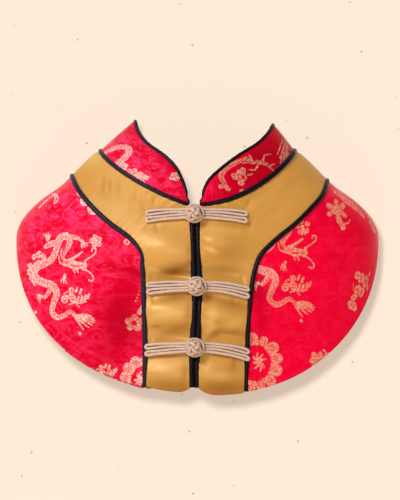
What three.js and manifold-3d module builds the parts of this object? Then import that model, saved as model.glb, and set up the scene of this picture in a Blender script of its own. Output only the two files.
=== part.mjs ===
// A small cheongsam capelet, worn round the neck, as a hollow form with no wearer in it.
// It has a stand collar, a gold satin yoke that runs down into a front placket, brocade
// fronts and back, round black piping in the seams and three knotted frog fastenings.
// Millimetres, +Z up. The front faces -Y and the origin is the middle of the neck opening.
// "left" and "right" are the viewer's, seen from the front.
import * as THREE from "three";
import { mergeVertices } from "three/addons/utils/BufferGeometryUtils.js";
import Module from "manifold-3d";

const manifold = await Module();
manifold.setup();

// Driving dimensions.
const CLOTH = 1.6; // outer cloth with its interfacing
const COLLAR_CLOTH = 1.8;
const GAP = 0.3; // between pieces at a seam
const PIPING_R = 1.7;
const PIPING_PROUD = 0.9; // how far a seam's piping is set out from the cloth's middle
const PIPING_SIDES = 8;
const SEAM_CLEAR = PIPING_R + GAP; // from a seam's line to the cloth's edge
const COLLAR_CLEAR = 2.4; // the same, where the collar stands up from the neck seam

// The general figure under the cloth: half its width, and its depth before and behind.
const FORM = [
  { z: 20, half: 63.5, front: 38, back: 38 },
  { z: 16.5, half: 69, front: 38.7, back: 38.5 },
  { z: 9.3, half: 76.7, front: 40, back: 39.5 },
  { z: -4, half: 90, front: 42.5, back: 41 },
  { z: -14.7, half: 104.8, front: 44.5, back: 42.5 },
  { z: -26.7, half: 116, front: 47, back: 44 },
  { z: -38.5, half: 120, front: 49.3, back: 45.6 },
  { z: -90, half: 120, front: 57, back: 50 },
  { z: -145, half: 120, front: 61, back: 52 },
];
const KEEL = { front: 1.6, back: 2 }; // under 2 gives a soft ridge down the middle
const SIDE_ROUND = 2.4; // how roundly the cloth turns over the shoulder line

const HEM_TOP = -38.5; // where the hem meets the shoulder line
const HEM_POWER = 2.2; // a superellipse
const HEM_FALL = { front: 102.9, back: 97.2 };
const HEM_LEAN = 0.05; // the front hem hangs a little lower on the right
const NOTCH = { rise: 4.2, width: 5.5 }; // where the two fronts part at the hem

// The line down which the two fronts meet.
const FRONT_LINE = [
  { z: 0, x: -1.9 },
  { z: -20, x: -1.9 },
  { z: -50, x: -1.2 },
  { z: -77, x: -0.2 },
  { z: -104, x: -1.3 },
  { z: -125, x: -2.2 },
  { z: -145, x: -2 },
];

const NECK_SIDE_Z = 19;
const NECK_FRONT_Z = -16.5;
const NECK_BACK_Z = -38;
const NECK_BACK_BOW = { power: 2, round: 0.8 };
const NECK_FROM = PIPING_R + GAP / 2 + 1.5; // from the meeting line to the neck seam's end
const GOLD_IN = 2 * PIPING_R + 1.5 * GAP; // from the meeting line to the gold cloth
const YOKE_BACK_Z = -65; // the back yoke's lower seam, at the middle
const COLLAR_BACK_Z = -19; // the collar's upper edge, at the middle of the back

// Each cloth's grid.
const GOLD_RUNGS = { shoulder: 15, placket: 15, across: 5 };
const BROCADE_GRID = { along: 18, up: 10 };
const BACK_GRID = { half: 13, yoke: 3, brocade: 8 };

// Depth of the collar's upper edge before and behind.
const COLLAR_FORM = [
  { z: -20, front: 44.5, back: 42 },
  { z: 0, front: 40.5, back: 38 },
  { z: 20, front: 36.5, back: 34 },
  { z: 42, front: 33, back: 31 },
];

// Each side's seams in the front view: x is measured out from the middle.
const SIDES = [
  {
    name: "left",
    sign: -1,
    neckBow: { power: 1.18, round: 0.75 },
    yokeSeam: [
      { x: 84.3, z: 2.5 },
      { x: 78.5, z: -7.5 },
      { x: 69.3, z: -18.7 },
      { x: 57.7, z: -29.3 },
      { x: 44.6, z: -39 },
      { x: 37.2, z: -48.5 },
      { x: 36, z: -60 },
      { x: 35, z: -90 },
      { x: 34.4, z: -120 },
      { x: 35, z: -138.4 },
    ],
    bendRow: 5,
    collarEdge: [
      { x: 7.6, z: -12.6 },
      { x: 8, z: -7 },
      { x: 10.6, z: 0.6 },
      { x: 14.6, z: 8.3 },
      { x: 22, z: 15.9 },
      { x: 33.2, z: 24 },
      { x: 39, z: 31.5 },
      { x: 41.5, z: 39 },
    ],
  },
  {
    name: "right",
    sign: 1,
    neckBow: { power: 1.9, round: 0.85 },
    yokeSeam: [
      { x: 87, z: -0.5 },
      { x: 83, z: -10 },
      { x: 75.7, z: -18.7 },
      { x: 65, z: -29.3 },
      { x: 53, z: -39 },
      { x: 42.4, z: -49.5 },
      { x: 38, z: -60 },
      { x: 35, z: -77.3 },
      { x: 33, z: -105 },
      { x: 32, z: -138.8 },
    ],
    bendRow: 5,
    collarEdge: [
      { x: 4, z: -12.6 },
      { x: 4.6, z: -7 },
      { x: 8.4, z: 0.3 },
      { x: 16.6, z: 7.9 },
      { x: 27.2, z: 15.9 },
      { x: 40, z: 24 },
      { x: 47, z: 31 },
      { x: 50.3, z: 36.5 },
    ],
  },
];

// The largest soft folds of the fronts: the middle of each, its half length and half width,
// the way it runs, and how far it stands out, or in if negative.
const FOLDS = [
  { x: -20, z: -44, turn: 4, long: 16, wide: 9, out: 1.6 },
  { x: -19, z: -64, turn: 2, long: 15, wide: 4, out: -1.5 },
  { x: -19, z: -86, turn: -6, long: 15, wide: 7, out: 1.4 },
  { x: -19, z: -97, turn: -8, long: 14, wide: 3.5, out: -1.1 },
  { x: -19, z: -128, turn: 3, long: 14, wide: 9, out: 1.3 },
  { x: 18, z: -42, turn: -12, long: 15, wide: 7, out: 1.2 },
  { x: 19, z: -60, turn: -8, long: 14, wide: 5, out: -1.3 },
  { x: 19, z: -90, turn: -10, long: 15, wide: 7, out: 1.4 },
  { x: 16, z: -104, turn: 20, long: 11, wide: 3.5, out: -1.2 },
  { x: 18, z: -128, turn: -3, long: 14, wide: 8, out: 1.3 },
  { x: -52, z: -61, turn: 6, long: 18, wide: 4, out: -1.3 },
  { x: -58, z: -84, turn: -28, long: 26, wide: 8, out: 1.5 },
  { x: -88, z: -48, turn: 35, long: 20, wide: 6, out: 1.3 },
  { x: -80, z: -104, turn: -40, long: 24, wide: 6, out: -1.2 },
  { x: 60, z: -66, turn: 8, long: 20, wide: 6, out: 1.3 },
  { x: 62, z: -92, turn: 24, long: 24, wide: 6, out: -1.3 },
  { x: 92, z: -60, turn: -50, long: 22, wide: 7, out: 1.3 },
  { x: 84, z: -108, turn: 42, long: 22, wide: 6, out: 1.2 },
  { x: 56, z: -14, turn: 40, long: 14, wide: 5, out: -1.1 },
  { x: -60, z: -8, turn: -60, long: 10, wide: 4, out: -0.9 },
];

// Each frog: its height, and how far each leg's outer end drops below the knot.
const FROGS = [
  { name: "top", z: -22.2, leftDrop: 2.2, rightDrop: 2.6 },
  { name: "middle", z: -70.6, leftDrop: 1.4, rightDrop: 4.4 },
  { name: "bottom", z: -111, leftDrop: 2, rightDrop: 5.2 },
];
const FROG_REACH = 34; // at most, from the middle to a leg's outer end
const FROG_CLEAR = PIPING_R + 0.5; // from that end to the placket's seam
const FROG_BED = 0.85; // under a leg, where it is sewn down
const LEG_TURN = 0.4; // past the yoke's bend every leg's seam turns less than this
const STRANDS = 4;
const STRAND_R = 1.05;
const LEG_HALF = { inner: 3.2, outer: 4.3 };
const LEG_START = { left: 3.95, right: 4.7 };
const LEG_RISE = { left: 2.9, right: 1.5 }; // at the knot
const KNOT = { across: 6, deep: 4.6, lift: 8.1 };
const LOOP = { ring: 5.6, cord: 1.1, lift: 4.3, halfTurn: 115 };

const COLOURS = {
  brocade: { color: 0xd6102c, roughness: 0.45 },
  gold: { color: 0xd9a24a, roughness: 0.38 },
  black: { color: 0x1c141c, roughness: 0.4 },
  cord: { color: 0xc9a183, roughness: 0.5 },
};

// A column of a table at height z, by cubic Hermite pieces. Rows run downwards.
function column(rows, key, z) {
  const last = rows.length - 1;
  if (z >= rows[0].z) return rows[0][key];
  if (z <= rows[last].z) return rows[last][key];
  const i = rows.findIndex((row) => row.z <= z) - 1;
  const slope = (k) => {
    if (k <= 0 || k >= last) return 0;
    return (rows[k + 1][key] - rows[k - 1][key]) / (rows[k + 1].z - rows[k - 1].z);
  };
  const span = rows[i + 1].z - rows[i].z;
  const t = (z - rows[i].z) / span;
  const ease = t * t * (3 - 2 * t);
  const straight = rows[i][key] * (1 - ease) + rows[i + 1][key] * ease;
  const leave = slope(i) * span * t * (1 - t) * (1 - t);
  const arrive = slope(i + 1) * span * t * t * (t - 1);
  return straight + leave + arrive;
}

const halfWidth = (z) => column(FORM, "half", z);
const upwards = (rows) => [...rows].sort((a, b) => b.z - a.z);
const COLLAR_ROWS = upwards(COLLAR_FORM);
const mix = THREE.MathUtils.lerp;

// How deep the figure is at a share u of its half width.
const roundness = (face, u) =>
  (1 - Math.min(1, Math.abs(u)) ** KEEL[face]) ** (1 / SIDE_ROUND);
const QUARTER = Math.PI / 2;

function foldOut(x, z) {
  return FOLDS.reduce((sum, fold) => {
    const a = THREE.MathUtils.degToRad(fold.turn);
    const along = (x - fold.x) * Math.cos(a) + (z - fold.z) * Math.sin(a);
    const across = (z - fold.z) * Math.cos(a) - (x - fold.x) * Math.sin(a);
    return sum + fold.out * Math.exp(-((along / fold.long) ** 2) - (across / fold.wide) ** 2);
  }, 0);
}

// A point of the cape: its turn from the middle runs to a quarter at the shoulder line.
function onCape(face, turn, z) {
  const u = Math.sin(turn);
  const x = u * halfWidth(z);
  const swell = face === "front" ? foldOut(x, z) * (1 - u ** 4) ** 2 : 0;
  const depth = GAP / 2 + column(FORM, face, z) * roundness(face, u) + swell;
  return new THREE.Vector3(x, face === "front" ? -depth : depth, z);
}

function hemZ(face, x) {
  const share = Math.min(1, Math.abs(x) / halfWidth(HEM_TOP));
  const fall = HEM_FALL[face] * (1 - share ** HEM_POWER) ** (1 / HEM_POWER);
  if (face === "back") return HEM_TOP - fall;
  const lean = HEM_LEAN * x * (1 - share ** 2) ** 2;
  const off = (x - column(FRONT_LINE, "x", HEM_TOP - fall)) / NOTCH.width;
  return HEM_TOP - fall - lean + NOTCH.rise * Math.exp(-off * off);
}

// A curve on the cape is a fine list of { turn, z }, its turn measured out from the middle.
const FINE = 240;
const fine = (f) => Array.from({ length: FINE + 1 }, (_, i) => f(i / FINE));
const turnAt = (x, z) => Math.asin(THREE.MathUtils.clamp(x / halfWidth(z), -1, 1));
const seen = (x, z) => ({ turn: turnAt(x, z), z });

function throughRows(rows) {
  const curve = new THREE.SplineCurve(rows.map((row) => new THREE.Vector2(row.x, row.z)));
  return fine((t) => curve.getPoint(t)).map((p) => ({ x: p.x, z: p.y }));
}

// The cape's outward normal, and how a point moves with its turn and its height.
function tangents(face, turn, z) {
  const step = 1e-3;
  const turned = onCape(face, turn + step, z).sub(onCape(face, turn - step, z));
  const lifted = onCape(face, turn, z + step).sub(onCape(face, turn, z - step));
  const byTurn = turned.divideScalar(2 * step);
  const byHeight = lifted.divideScalar(2 * step);
  const out = new THREE.Vector3().crossVectors(byTurn, byHeight).normalize();
  if (face === "back") out.negate();
  return { byTurn, byHeight, out };
}

// The same curve, moved along the cloth by d, to the right of its way as seen on the front's
// right half. A point on the shoulder line stays on it.
function moved(face, sign, curve, d) {
  const place = (p) => onCape(face, sign * p.turn, p.z);
  return curve.map((p, i) => {
    const way = place(curve[Math.min(curve.length - 1, i + 1)]);
    way.sub(place(curve[Math.max(0, i - 1)])).normalize();
    const onShoulder = p.turn > QUARTER - 1e-4;
    const { byTurn, byHeight, out } = tangents(face, sign * Math.min(p.turn, QUARTER - 2e-3), p.z);
    const turnsWith = face === "front" ? sign : -sign;
    const aside = way.cross(out).multiplyScalar(turnsWith * d);
    const tt = byTurn.lengthSq();
    const hh = byHeight.lengthSq();
    const th = byTurn.dot(byHeight);
    const scale = tt * hh - th * th;
    const dTurn = (hh * byTurn.dot(aside) - th * byHeight.dot(aside)) / scale;
    const dZ = (tt * byHeight.dot(aside) - th * byTurn.dot(aside)) / scale;
    return { turn: onShoulder ? QUARTER : Math.min(QUARTER, p.turn + sign * dTurn), z: p.z + dZ };
  });
}

// Points of a curve, evenly spaced along the cloth, on the side that sign gives.
function spaced(face, sign, curve, count) {
  const at = (p) => onCape(face, sign * p.turn, p.z);
  const along = [0];
  curve.slice(1).forEach((p, i) => along.push(along[i] + at(p).distanceTo(at(curve[i]))));
  const total = along[along.length - 1];
  return Array.from({ length: count + 1 }, (_, k) => {
    const goal = (total * k) / count;
    const i = Math.max(1, along.findIndex((s) => s >= goal - 1e-9));
    const t = (goal - along[i - 1]) / Math.max(along[i] - along[i - 1], 1e-9);
    const turn = sign * mix(curve[i - 1].turn, curve[i].turn, t);
    return { turn, z: mix(curve[i - 1].z, curve[i].z, t) };
  });
}

// A closed wall from a grid of middle points. low and high give its two faces as distances
// along the outward normal. On the shoulder line the normal stays in the seam's plane.
function wall(grid, low, high, onShoulder = () => false) {
  const rows = grid.length - 1;
  const cols = grid[0].length - 1;
  const normals = grid.map((line, i) =>
    line.map((p, j) => {
      const a = grid[Math.min(rows, i + 1)][j].clone().sub(grid[Math.max(0, i - 1)][j]);
      const b = line[Math.min(cols, j + 1)].clone().sub(line[Math.max(0, j - 1)]);
      const n = a.cross(b);
      if (n.x * p.x + n.y * p.y < 0) n.negate();
      if (onShoulder(i, j)) n.y = 0;
      return n.normalize();
    }),
  );
  const place = (i, j, f) => grid[i][j].clone().addScaledVector(normals[i][j], f(i, j));
  const quads = [];
  const cell = (i, j) => [[i, j], [i + 1, j], [i + 1, j + 1], [i, j + 1]];
  for (let i = 0; i < rows; i++) {
    for (let j = 0; j < cols; j++) {
      quads.push(cell(i, j).map(([a, b]) => place(a, b, high)));
      quads.push(cell(i, j).reverse().map(([a, b]) => place(a, b, low)));
    }
  }
  const rim = [];
  for (let i = 0; i < rows; i++) rim.push([i, 0]);
  for (let j = 0; j < cols; j++) rim.push([rows, j]);
  for (let i = rows; i > 0; i--) rim.push([i, cols]);
  for (let j = cols; j > 0; j--) rim.push([0, j]);
  rim.forEach(([a, b], k) => {
    const [c, d] = rim[(k + 1) % rim.length];
    quads.push([place(c, d, high), place(a, b, high), place(a, b, low), place(c, d, low)]);
  });
  return fromQuads(quads);
}

function fromQuads(quads) {
  const corners = quads.flatMap(([a, b, c, d]) => [a, b, c, a, c, d]);
  const geometry = new THREE.BufferGeometry().setFromPoints(corners);
  return facingOut(mergeVertices(geometry, 1e-4));
}

// The same geometry, turned the right way out.
function facingOut(geometry) {
  const p = geometry.attributes.position;
  const index = geometry.index;
  const corner = (k) => new THREE.Vector3().fromBufferAttribute(p, index.getX(k));
  let volume = 0;
  for (let k = 0; k < index.count; k += 3) {
    volume += corner(k).dot(corner(k + 1).cross(corner(k + 2)));
  }
  if (volume > 0) return geometry;
  for (let k = 0; k < index.count; k += 3) {
    const keep = index.getX(k);
    index.setX(k, index.getX(k + 1));
    index.setX(k + 1, keep);
  }
  return geometry;
}

const flat = (value) => () => value;
const clothWall = (grid, onShoulder) => wall(grid, flat(-CLOTH / 2), flat(CLOTH / 2), onShoulder);

// The grid between two lists of { turn, z } on one face of the cape.
function between(face, from, to, cols) {
  return from.map((a, i) =>
    Array.from({ length: cols + 1 }, (_, j) => {
      const t = j / cols;
      return onCape(face, mix(a.turn, to[i].turn, t), mix(a.z, to[i].z, t));
    }),
  );
}

// A four-sided patch: left and right run upwards, bottom and top run from left to right.
function patch(face, bottom, top, left, right) {
  const n = bottom.length - 1;
  const m = left.length - 1;
  const blend = (key, s, t, i, j) =>
    mix(bottom[i][key], top[i][key], t) +
    mix(left[j][key], right[j][key], s) -
    mix(mix(bottom[0][key], bottom[n][key], s), mix(top[0][key], top[n][key], s), t);
  return bottom.map((_, i) =>
    left.map((__, j) => {
      const turn = blend("turn", i / n, j / m, i, j);
      const z = blend("z", i / n, j / m, i, j);
      return onCape(face, THREE.MathUtils.clamp(turn, -QUARTER, QUARTER), z);
    }),
  );
}

// x out from the middle to the line that lies d to this side of the meeting line.
const beside = (side, z, d) => d + side.sign * column(FRONT_LINE, "x", z);

// The neck seam of one side, from the middle out to the shoulder line.
function neckSeam(face, side) {
  const outer = halfWidth(NECK_SIDE_Z);
  const front = face === "front";
  const inner = front ? beside(side, NECK_FRONT_Z, NECK_FROM) : 0;
  const low = front ? NECK_FRONT_Z : NECK_BACK_Z;
  const bow = front ? side.neckBow : NECK_BACK_BOW;
  return fine((t) => {
    const w = Math.sin(t * QUARTER);
    const z = NECK_SIDE_Z - (NECK_SIDE_Z - low) * Math.max(0, 1 - w ** bow.power) ** bow.round;
    return w > 1 - 1e-9 ? { turn: QUARTER, z } : seen(mix(inner, outer, w), z);
  });
}

// The back yoke's lower seam, from the middle out to the shoulder line.
function backYokeSeam(side) {
  const end = side.yokeSeam[0].z;
  const bow = NECK_BACK_BOW;
  return fine((t) => {
    const w = Math.sin(t * QUARTER);
    const z = end - (end - YOKE_BACK_Z) * Math.max(0, 1 - w ** bow.power) ** bow.round;
    return w > 1 - 1e-9 ? { turn: QUARTER, z } : seen(halfWidth(end) * w, z);
  });
}

const shoulderLine = (from, to) => fine((t) => ({ turn: QUARTER, z: mix(from, to, t) }));

// One side's yoke seam, from the shoulder line through its bend to the hem.
function yokeSeam(side) {
  const rows = side.yokeSeam.map((row, k) => (k ? row : { x: halfWidth(row.z), z: row.z }));
  const curve = throughRows(rows).map((p) => seen(p.x, p.z));
  curve[0] = { turn: QUARTER, z: rows[0].z };
  return curve;
}
const bendAt = (side) => Math.round((FINE * side.bendRow) / (side.yokeSeam.length - 1));

// The same curve with its last point dropped onto the front's hem.
function toHem(side, curve) {
  const last = curve[curve.length - 1];
  const x = Math.sin(last.turn) * halfWidth(last.z);
  return [...curve.slice(0, -1), seen(x, hemZ("front", side.sign * x))];
}

function placketEdge(side, top, d) {
  const low = hemZ("front", side.sign * beside(side, -139, d));
  return fine((t) => seen(beside(side, mix(top, low, t), d), mix(top, low, t)));
}

// The gold front, yoke and placket in one piece, as rungs from its inner to its outer edge.
function goldFront(side) {
  const { sign } = side;
  const outer = moved("front", sign, yokeSeam(side), SEAM_CLEAR);
  const neck = moved("front", sign, neckSeam("front", side), SEAM_CLEAR).reverse();
  const top = neck.filter((p) => Math.sin(p.turn) * halfWidth(p.z) > beside(side, p.z, GOLD_IN));
  const startZ = top[top.length - 1].z;
  const start = seen(beside(side, startZ, GOLD_IN), startZ);
  const bend = bendAt(side);
  const list = (shoulderRun, placketRun) => [
    ...spaced("front", sign, shoulderRun, GOLD_RUNGS.shoulder),
    ...spaced("front", sign, placketRun, GOLD_RUNGS.placket).slice(1),
  ];
  const inner = list([...top, start], placketEdge(side, startZ, GOLD_IN));
  const edge = list(outer.slice(0, bend + 1), toHem(side, outer.slice(bend)));
  const grid = between("front", inner, edge, GOLD_RUNGS.across);
  const hem = grid[grid.length - 1];
  grid[grid.length - 1] = hem.map(({ x }) => {
    const z = hemZ("front", x);
    return onCape("front", turnAt(x, z), z);
  });
  return grid;
}

// The brocade front, outside the yoke seam.
function brocadeFront(side) {
  const { sign } = side;
  const edge = toHem(side, moved("front", sign, yokeSeam(side), -SEAM_CLEAR));
  const low = edge[edge.length - 1];
  const from = Math.sin(low.turn) * halfWidth(low.z);
  const hem = fine((t) => {
    const x = mix(from, halfWidth(HEM_TOP), Math.sin(t * QUARTER));
    return seen(x, hemZ("front", sign * x));
  });
  hem[FINE] = { turn: QUARTER, z: HEM_TOP };
  const bend = bendAt(side);
  const { along, up } = BROCADE_GRID;
  return patch(
    "front",
    spaced("front", sign, hem, along),
    spaced("front", sign, edge.slice(0, bend + 1).reverse(), along),
    spaced("front", sign, edge.slice(bend).reverse(), up),
    spaced("front", sign, shoulderLine(HEM_TOP, edge[0].z), up),
  );
}

// A back piece: rungs from an upper to a lower curve, from the left shoulder to the right.
function acrossBack(upper, lower, half, cols) {
  const list = (curveOf) => {
    const [left, right] = SIDES.map((side) =>
      spaced("back", side.sign, curveOf(side), half),
    );
    return [...left.reverse(), ...right.slice(1)];
  };
  return between("back", list(upper), list(lower), cols);
}

const backNeckEdge = (side) => moved("back", side.sign, neckSeam("back", side), SEAM_CLEAR);
const yokeTop = (side) => moved("back", side.sign, backYokeSeam(side), -SEAM_CLEAR);
const yokeLow = (side) => moved("back", side.sign, backYokeSeam(side), SEAM_CLEAR);
function backHem() {
  const hem = fine((t) => {
    const x = halfWidth(HEM_TOP) * Math.sin(t * QUARTER);
    return seen(x, hemZ("back", x));
  });
  hem[FINE] = { turn: QUARTER, z: HEM_TOP };
  return hem;
}

// A round cord along a list of points, outwards from the cloth by a set amount.
function cordAlong(points, radius, steps, sides = PIPING_SIDES) {
  const section = new THREE.Shape();
  for (let k = 0; k < sides; k++) {
    const a = (2 * Math.PI * (k + 0.5)) / sides;
    if (k) section.lineTo(radius * Math.cos(a), radius * Math.sin(a));
    else section.moveTo(radius * Math.cos(a), radius * Math.sin(a));
  }
  const extrudePath = new THREE.CatmullRomCurve3(points, false, "centripetal");
  const tube = new THREE.ExtrudeGeometry(section, { steps, extrudePath, bevelEnabled: false });
  tube.deleteAttribute("normal");
  tube.deleteAttribute("uv");
  return facingOut(mergeVertices(tube, 1e-3));
}

// A point set out from the cape's middle surface.
function setOut(face, { turn, z }, out) {
  const onShoulder = Math.abs(turn) > QUARTER - 1e-4;
  const { out: normal } = tangents(face, onShoulder ? turn * 0.999 : turn, z);
  if (onShoulder) normal.setY(0).normalize();
  return onCape(face, turn, z).addScaledVector(normal, out);
}

function yokePiping(side) {
  const path = spaced("front", side.sign, toHem(side, yokeSeam(side)), 36);
  path[path.length - 1].z += 0.4;
  const points = path.map((p) => setOut("front", p, PIPING_PROUD));
  points[0].y -= GAP * 0.85;
  return cordAlong(points, PIPING_R, 40);
}

function backYokePiping() {
  const [left, right] = SIDES.map((side) =>
    spaced("back", side.sign, backYokeSeam(side), 22),
  );
  const points = [...left.reverse(), ...right.slice(1)].map((p) => setOut("back", p, PIPING_PROUD));
  points[0].y += GAP * 0.85;
  points[points.length - 1].y += GAP * 0.85;
  return cordAlong(points, PIPING_R, 44);
}

// The neck seam and the collar's upper edge, each from the left front round to the right.
// Every run has as many points as the other's, so that they pair up as rungs.
const FRONT_RUNGS = 20;
const BACK_RUNGS = 14;

function neckRing(out) {
  const run = (face, side, count) =>
    spaced(face, side.sign, neckSeam(face, side), count).map((p, k) => {
      const ease = face === "front" ? THREE.MathUtils.smoothstep(k, 0, 6) : 1;
      return setOut(face, p, out * ease);
    });
  const [left, right] = SIDES;
  return [
    ...run("front", left, FRONT_RUNGS),
    ...run("back", left, BACK_RUNGS).reverse().slice(1),
    ...run("back", right, BACK_RUNGS).slice(1),
    ...run("front", right, FRONT_RUNGS).reverse().slice(1),
  ];
}

function evenly(points, count) {
  return new THREE.CatmullRomCurve3(points, false, "centripetal").getSpacedPoints(count);
}

function collarTopRing() {
  const frontRun = (side) => {
    const curve = throughRows(side.collarEdge);
    const tip = curve[FINE];
    const points = curve.map((p) => {
      const depth = column(COLLAR_ROWS, "front", p.z) * roundness("front", p.x / tip.x);
      return new THREE.Vector3(side.sign * p.x, -depth, p.z);
    });
    return evenly(points, FRONT_RUNGS);
  };
  const backRun = (side) => {
    const tip = side.collarEdge[side.collarEdge.length - 1];
    const bow = NECK_BACK_BOW;
    const points = fine((t) => {
      const w = Math.sin((t * Math.PI) / 2);
      const z = tip.z - (tip.z - COLLAR_BACK_Z) * Math.max(0, 1 - w ** bow.power) ** bow.round;
      const depth = column(COLLAR_ROWS, "back", z) * roundness("back", w);
      return new THREE.Vector3(side.sign * tip.x * w, depth, z);
    });
    return evenly(points, BACK_RUNGS);
  };
  const [left, right] = SIDES;
  return [
    ...frontRun(left),
    ...backRun(left).reverse().slice(1),
    ...backRun(right).slice(1),
    ...frontRun(right).reverse().slice(1),
  ];
}

// How far along a rung its end must be, so as to lie d away from a ring.
function clearance(ring, i, rung, d) {
  const way = ring[Math.min(ring.length - 1, i + 1)].clone().sub(ring[Math.max(0, i - 1)]);
  return d / Math.max(0.3, way.normalize().cross(rung).length());
}

function collarGrid() {
  const bottom = neckRing(0);
  const top = collarTopRing();
  const cols = 4;
  const bulge = 0.8;
  return bottom
    .map((a, i) => {
      const b = top[i];
      const rung = b.clone().sub(a).normalize();
      const length = a.distanceTo(b);
      const from = clearance(bottom, i, rung, COLLAR_CLEAR) / length;
      const to = 1 - clearance(top, i, rung, SEAM_CLEAR + 0.15) / length;
      return { a, b, length, from, to };
    })
    .filter(({ length, from, to }) => (to - from) * length > 1.2)
    .map(({ a, b, from, to }) => {
      return Array.from({ length: cols + 1 }, (_, j) => {
        const t = mix(from, to, j / cols);
        const p = a.clone().lerp(b, t);
        const out = new THREE.Vector3(p.x, p.y, 0).normalize();
        return p.addScaledVector(out, bulge * Math.sin(Math.PI * t));
      });
    });
}

function centrePiping(side) {
  const d = PIPING_R + GAP / 2;
  const curve = placketEdge(side, NECK_FRONT_Z - SEAM_CLEAR - 0.2, d);
  curve[FINE].z += 0.6;
  const points = spaced("front", side.sign, curve, 24).map((p) => setOut("front", p, 0));
  return cordAlong(points, PIPING_R, 24);
}

// One leg of a frog: strands side by side, lying on the gold cloth.
function frogLeg(frog, side) {
  const rows = 7;
  const perStrand = 2;
  const cols = STRANDS * perStrand;
  const drop = frog[side.name + "Drop"];
  const middle = column(FRONT_LINE, "x", frog.z);
  const seam = yokeSeam(side).find((p) => p.z < frog.z - drop && p.turn < LEG_TURN);
  const end = Math.min(FROG_REACH, Math.sin(seam.turn) * halfWidth(seam.z) - FROG_CLEAR);
  const grid = Array.from({ length: rows + 1 }, (_, i) => {
    const t = i / rows;
    const x = mix(middle + side.sign * LEG_START[side.name], side.sign * end, t);
    const half = mix(LEG_HALF.inner, LEG_HALF.outer, t);
    return Array.from({ length: cols + 1 }, (__, j) => {
      const z = frog.z - drop * t * t + half * (1 - (2 * j) / cols);
      return onCape("front", turnAt(x, z), z);
    });
  });
  const bed = CLOTH / 2 + FROG_BED;
  const rise = LEG_RISE[side.name];
  const top = (i, j) => {
    const ridge = j % perStrand ? 1 : 0.45;
    const lift = rise * Math.max(0, 1 - i / 2);
    return bed + lift + 2 * STRAND_R * (i === rows ? 0.55 : 1) * (0.55 + 0.45 * ridge);
  };
  return wall(grid, flat(bed), top);
}

// The knotted ball: its strands cross over and under one another.
function knotBall(centre) {
  const ball = new THREE.SphereGeometry(1, 16, 10);
  ball.deleteAttribute("normal");
  ball.deleteAttribute("uv");
  const merged = mergeVertices(ball, 1e-4);
  const p = merged.attributes.position;
  for (let k = 0; k < p.count; k++) {
    const v = new THREE.Vector3().fromBufferAttribute(p, k);
    const turn = 2 * Math.atan2(v.z, v.x);
    const tilt = 3 * Math.asin(THREE.MathUtils.clamp(v.y, -1, 1));
    const strand = Math.max(Math.abs(Math.cos(turn + tilt)), Math.abs(Math.cos(turn - tilt)));
    const r = 0.9 + 0.1 * strand;
    p.setXYZ(
      k,
      centre.x + v.x * r * KNOT.across,
      centre.y + v.y * r * KNOT.deep,
      centre.z + v.z * r * KNOT.across,
    );
  }
  return facingOut(merged);
}

function loopRing(centre) {
  const half = THREE.MathUtils.degToRad(LOOP.halfTurn);
  const points = Array.from({ length: 13 }, (_, k) => {
    const a = mix(-half, half, k / 12);
    const x = centre.x + LOOP.ring * Math.cos(a);
    return new THREE.Vector3(x, centre.y, centre.z + LOOP.ring * Math.sin(a));
  });
  return cordAlong(points, LOOP.cord, 16, 6);
}

function fuse(a, b) {
  const [one, two] = [a, b].map((geometry) => {
    const vertProperties = new Float32Array(geometry.attributes.position.array);
    const triVerts = new Uint32Array(geometry.index.array);
    return new manifold.Manifold(new manifold.Mesh({ numProp: 3, vertProperties, triVerts }));
  });
  const mesh = one.add(two).getMesh();
  const geometry = new THREE.BufferGeometry();
  geometry.setAttribute("position", new THREE.BufferAttribute(mesh.vertProperties, mesh.numProp));
  geometry.setIndex(new THREE.BufferAttribute(mesh.triVerts, 1));
  return geometry;
}

// A frog's two halves: the left leg ends in the knot, the right one in the loop round it.
function frogHalves(frog) {
  const x = column(FRONT_LINE, "x", frog.z);
  const seat = onCape("front", turnAt(x, frog.z), frog.z);
  const raised = (lift) => new THREE.Vector3(seat.x, seat.y - lift, seat.z);
  const [left, right] = SIDES;
  return {
    knot: fuse(frogLeg(frog, left), knotBall(raised(KNOT.lift))),
    loop: fuse(frogLeg(frog, right), loopRing(raised(LOOP.lift))),
  };
}

function build() {
  const part = new THREE.Group();
  const add = (name, geometry, finish) => {
    const material = new THREE.MeshStandardMaterial({ ...COLOURS[finish], metalness: 0 });
    const mesh = new THREE.Mesh(geometry, material);
    mesh.name = name;
    part.add(mesh);
  };
  const shoulder = (row) => (i) => i === row;
  for (const side of SIDES) {
    const brocade = clothWall(brocadeFront(side), shoulder(BROCADE_GRID.along));
    add(`front_brocade_${side.name}`, brocade, "brocade");
    add(`front_gold_${side.name}`, clothWall(goldFront(side), shoulder(0)), "gold");
    add(`yoke_piping_${side.name}`, yokePiping(side), "black");
    add(`centre_piping_${side.name}`, centrePiping(side), "black");
  }
  const { half } = BACK_GRID;
  const ends = (i) => i === 0 || i === 2 * half;
  const yoke = acrossBack(backNeckEdge, yokeTop, half, BACK_GRID.yoke);
  add("back_yoke", clothWall(yoke, ends), "gold");
  const brocade = acrossBack(yokeLow, backHem, half, BACK_GRID.brocade);
  add("back_brocade", clothWall(brocade, ends), "brocade");
  add("yoke_piping_back", backYokePiping(), "black");
  add("neck_piping", cordAlong(neckRing(PIPING_PROUD), PIPING_R, 68), "black");
  add("collar", wall(collarGrid(), flat(-COLLAR_CLOTH / 2), flat(COLLAR_CLOTH / 2)), "brocade");
  add("collar_piping", cordAlong(collarTopRing(), PIPING_R, 68), "black");
  for (const frog of FROGS) {
    const { knot, loop } = frogHalves(frog);
    add(`frog_${frog.name}_knot`, knot, "cord");
    add(`frog_${frog.name}_loop`, loop, "cord");
  }
  return part;
}

export default build();
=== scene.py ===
import functools
import math

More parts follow.
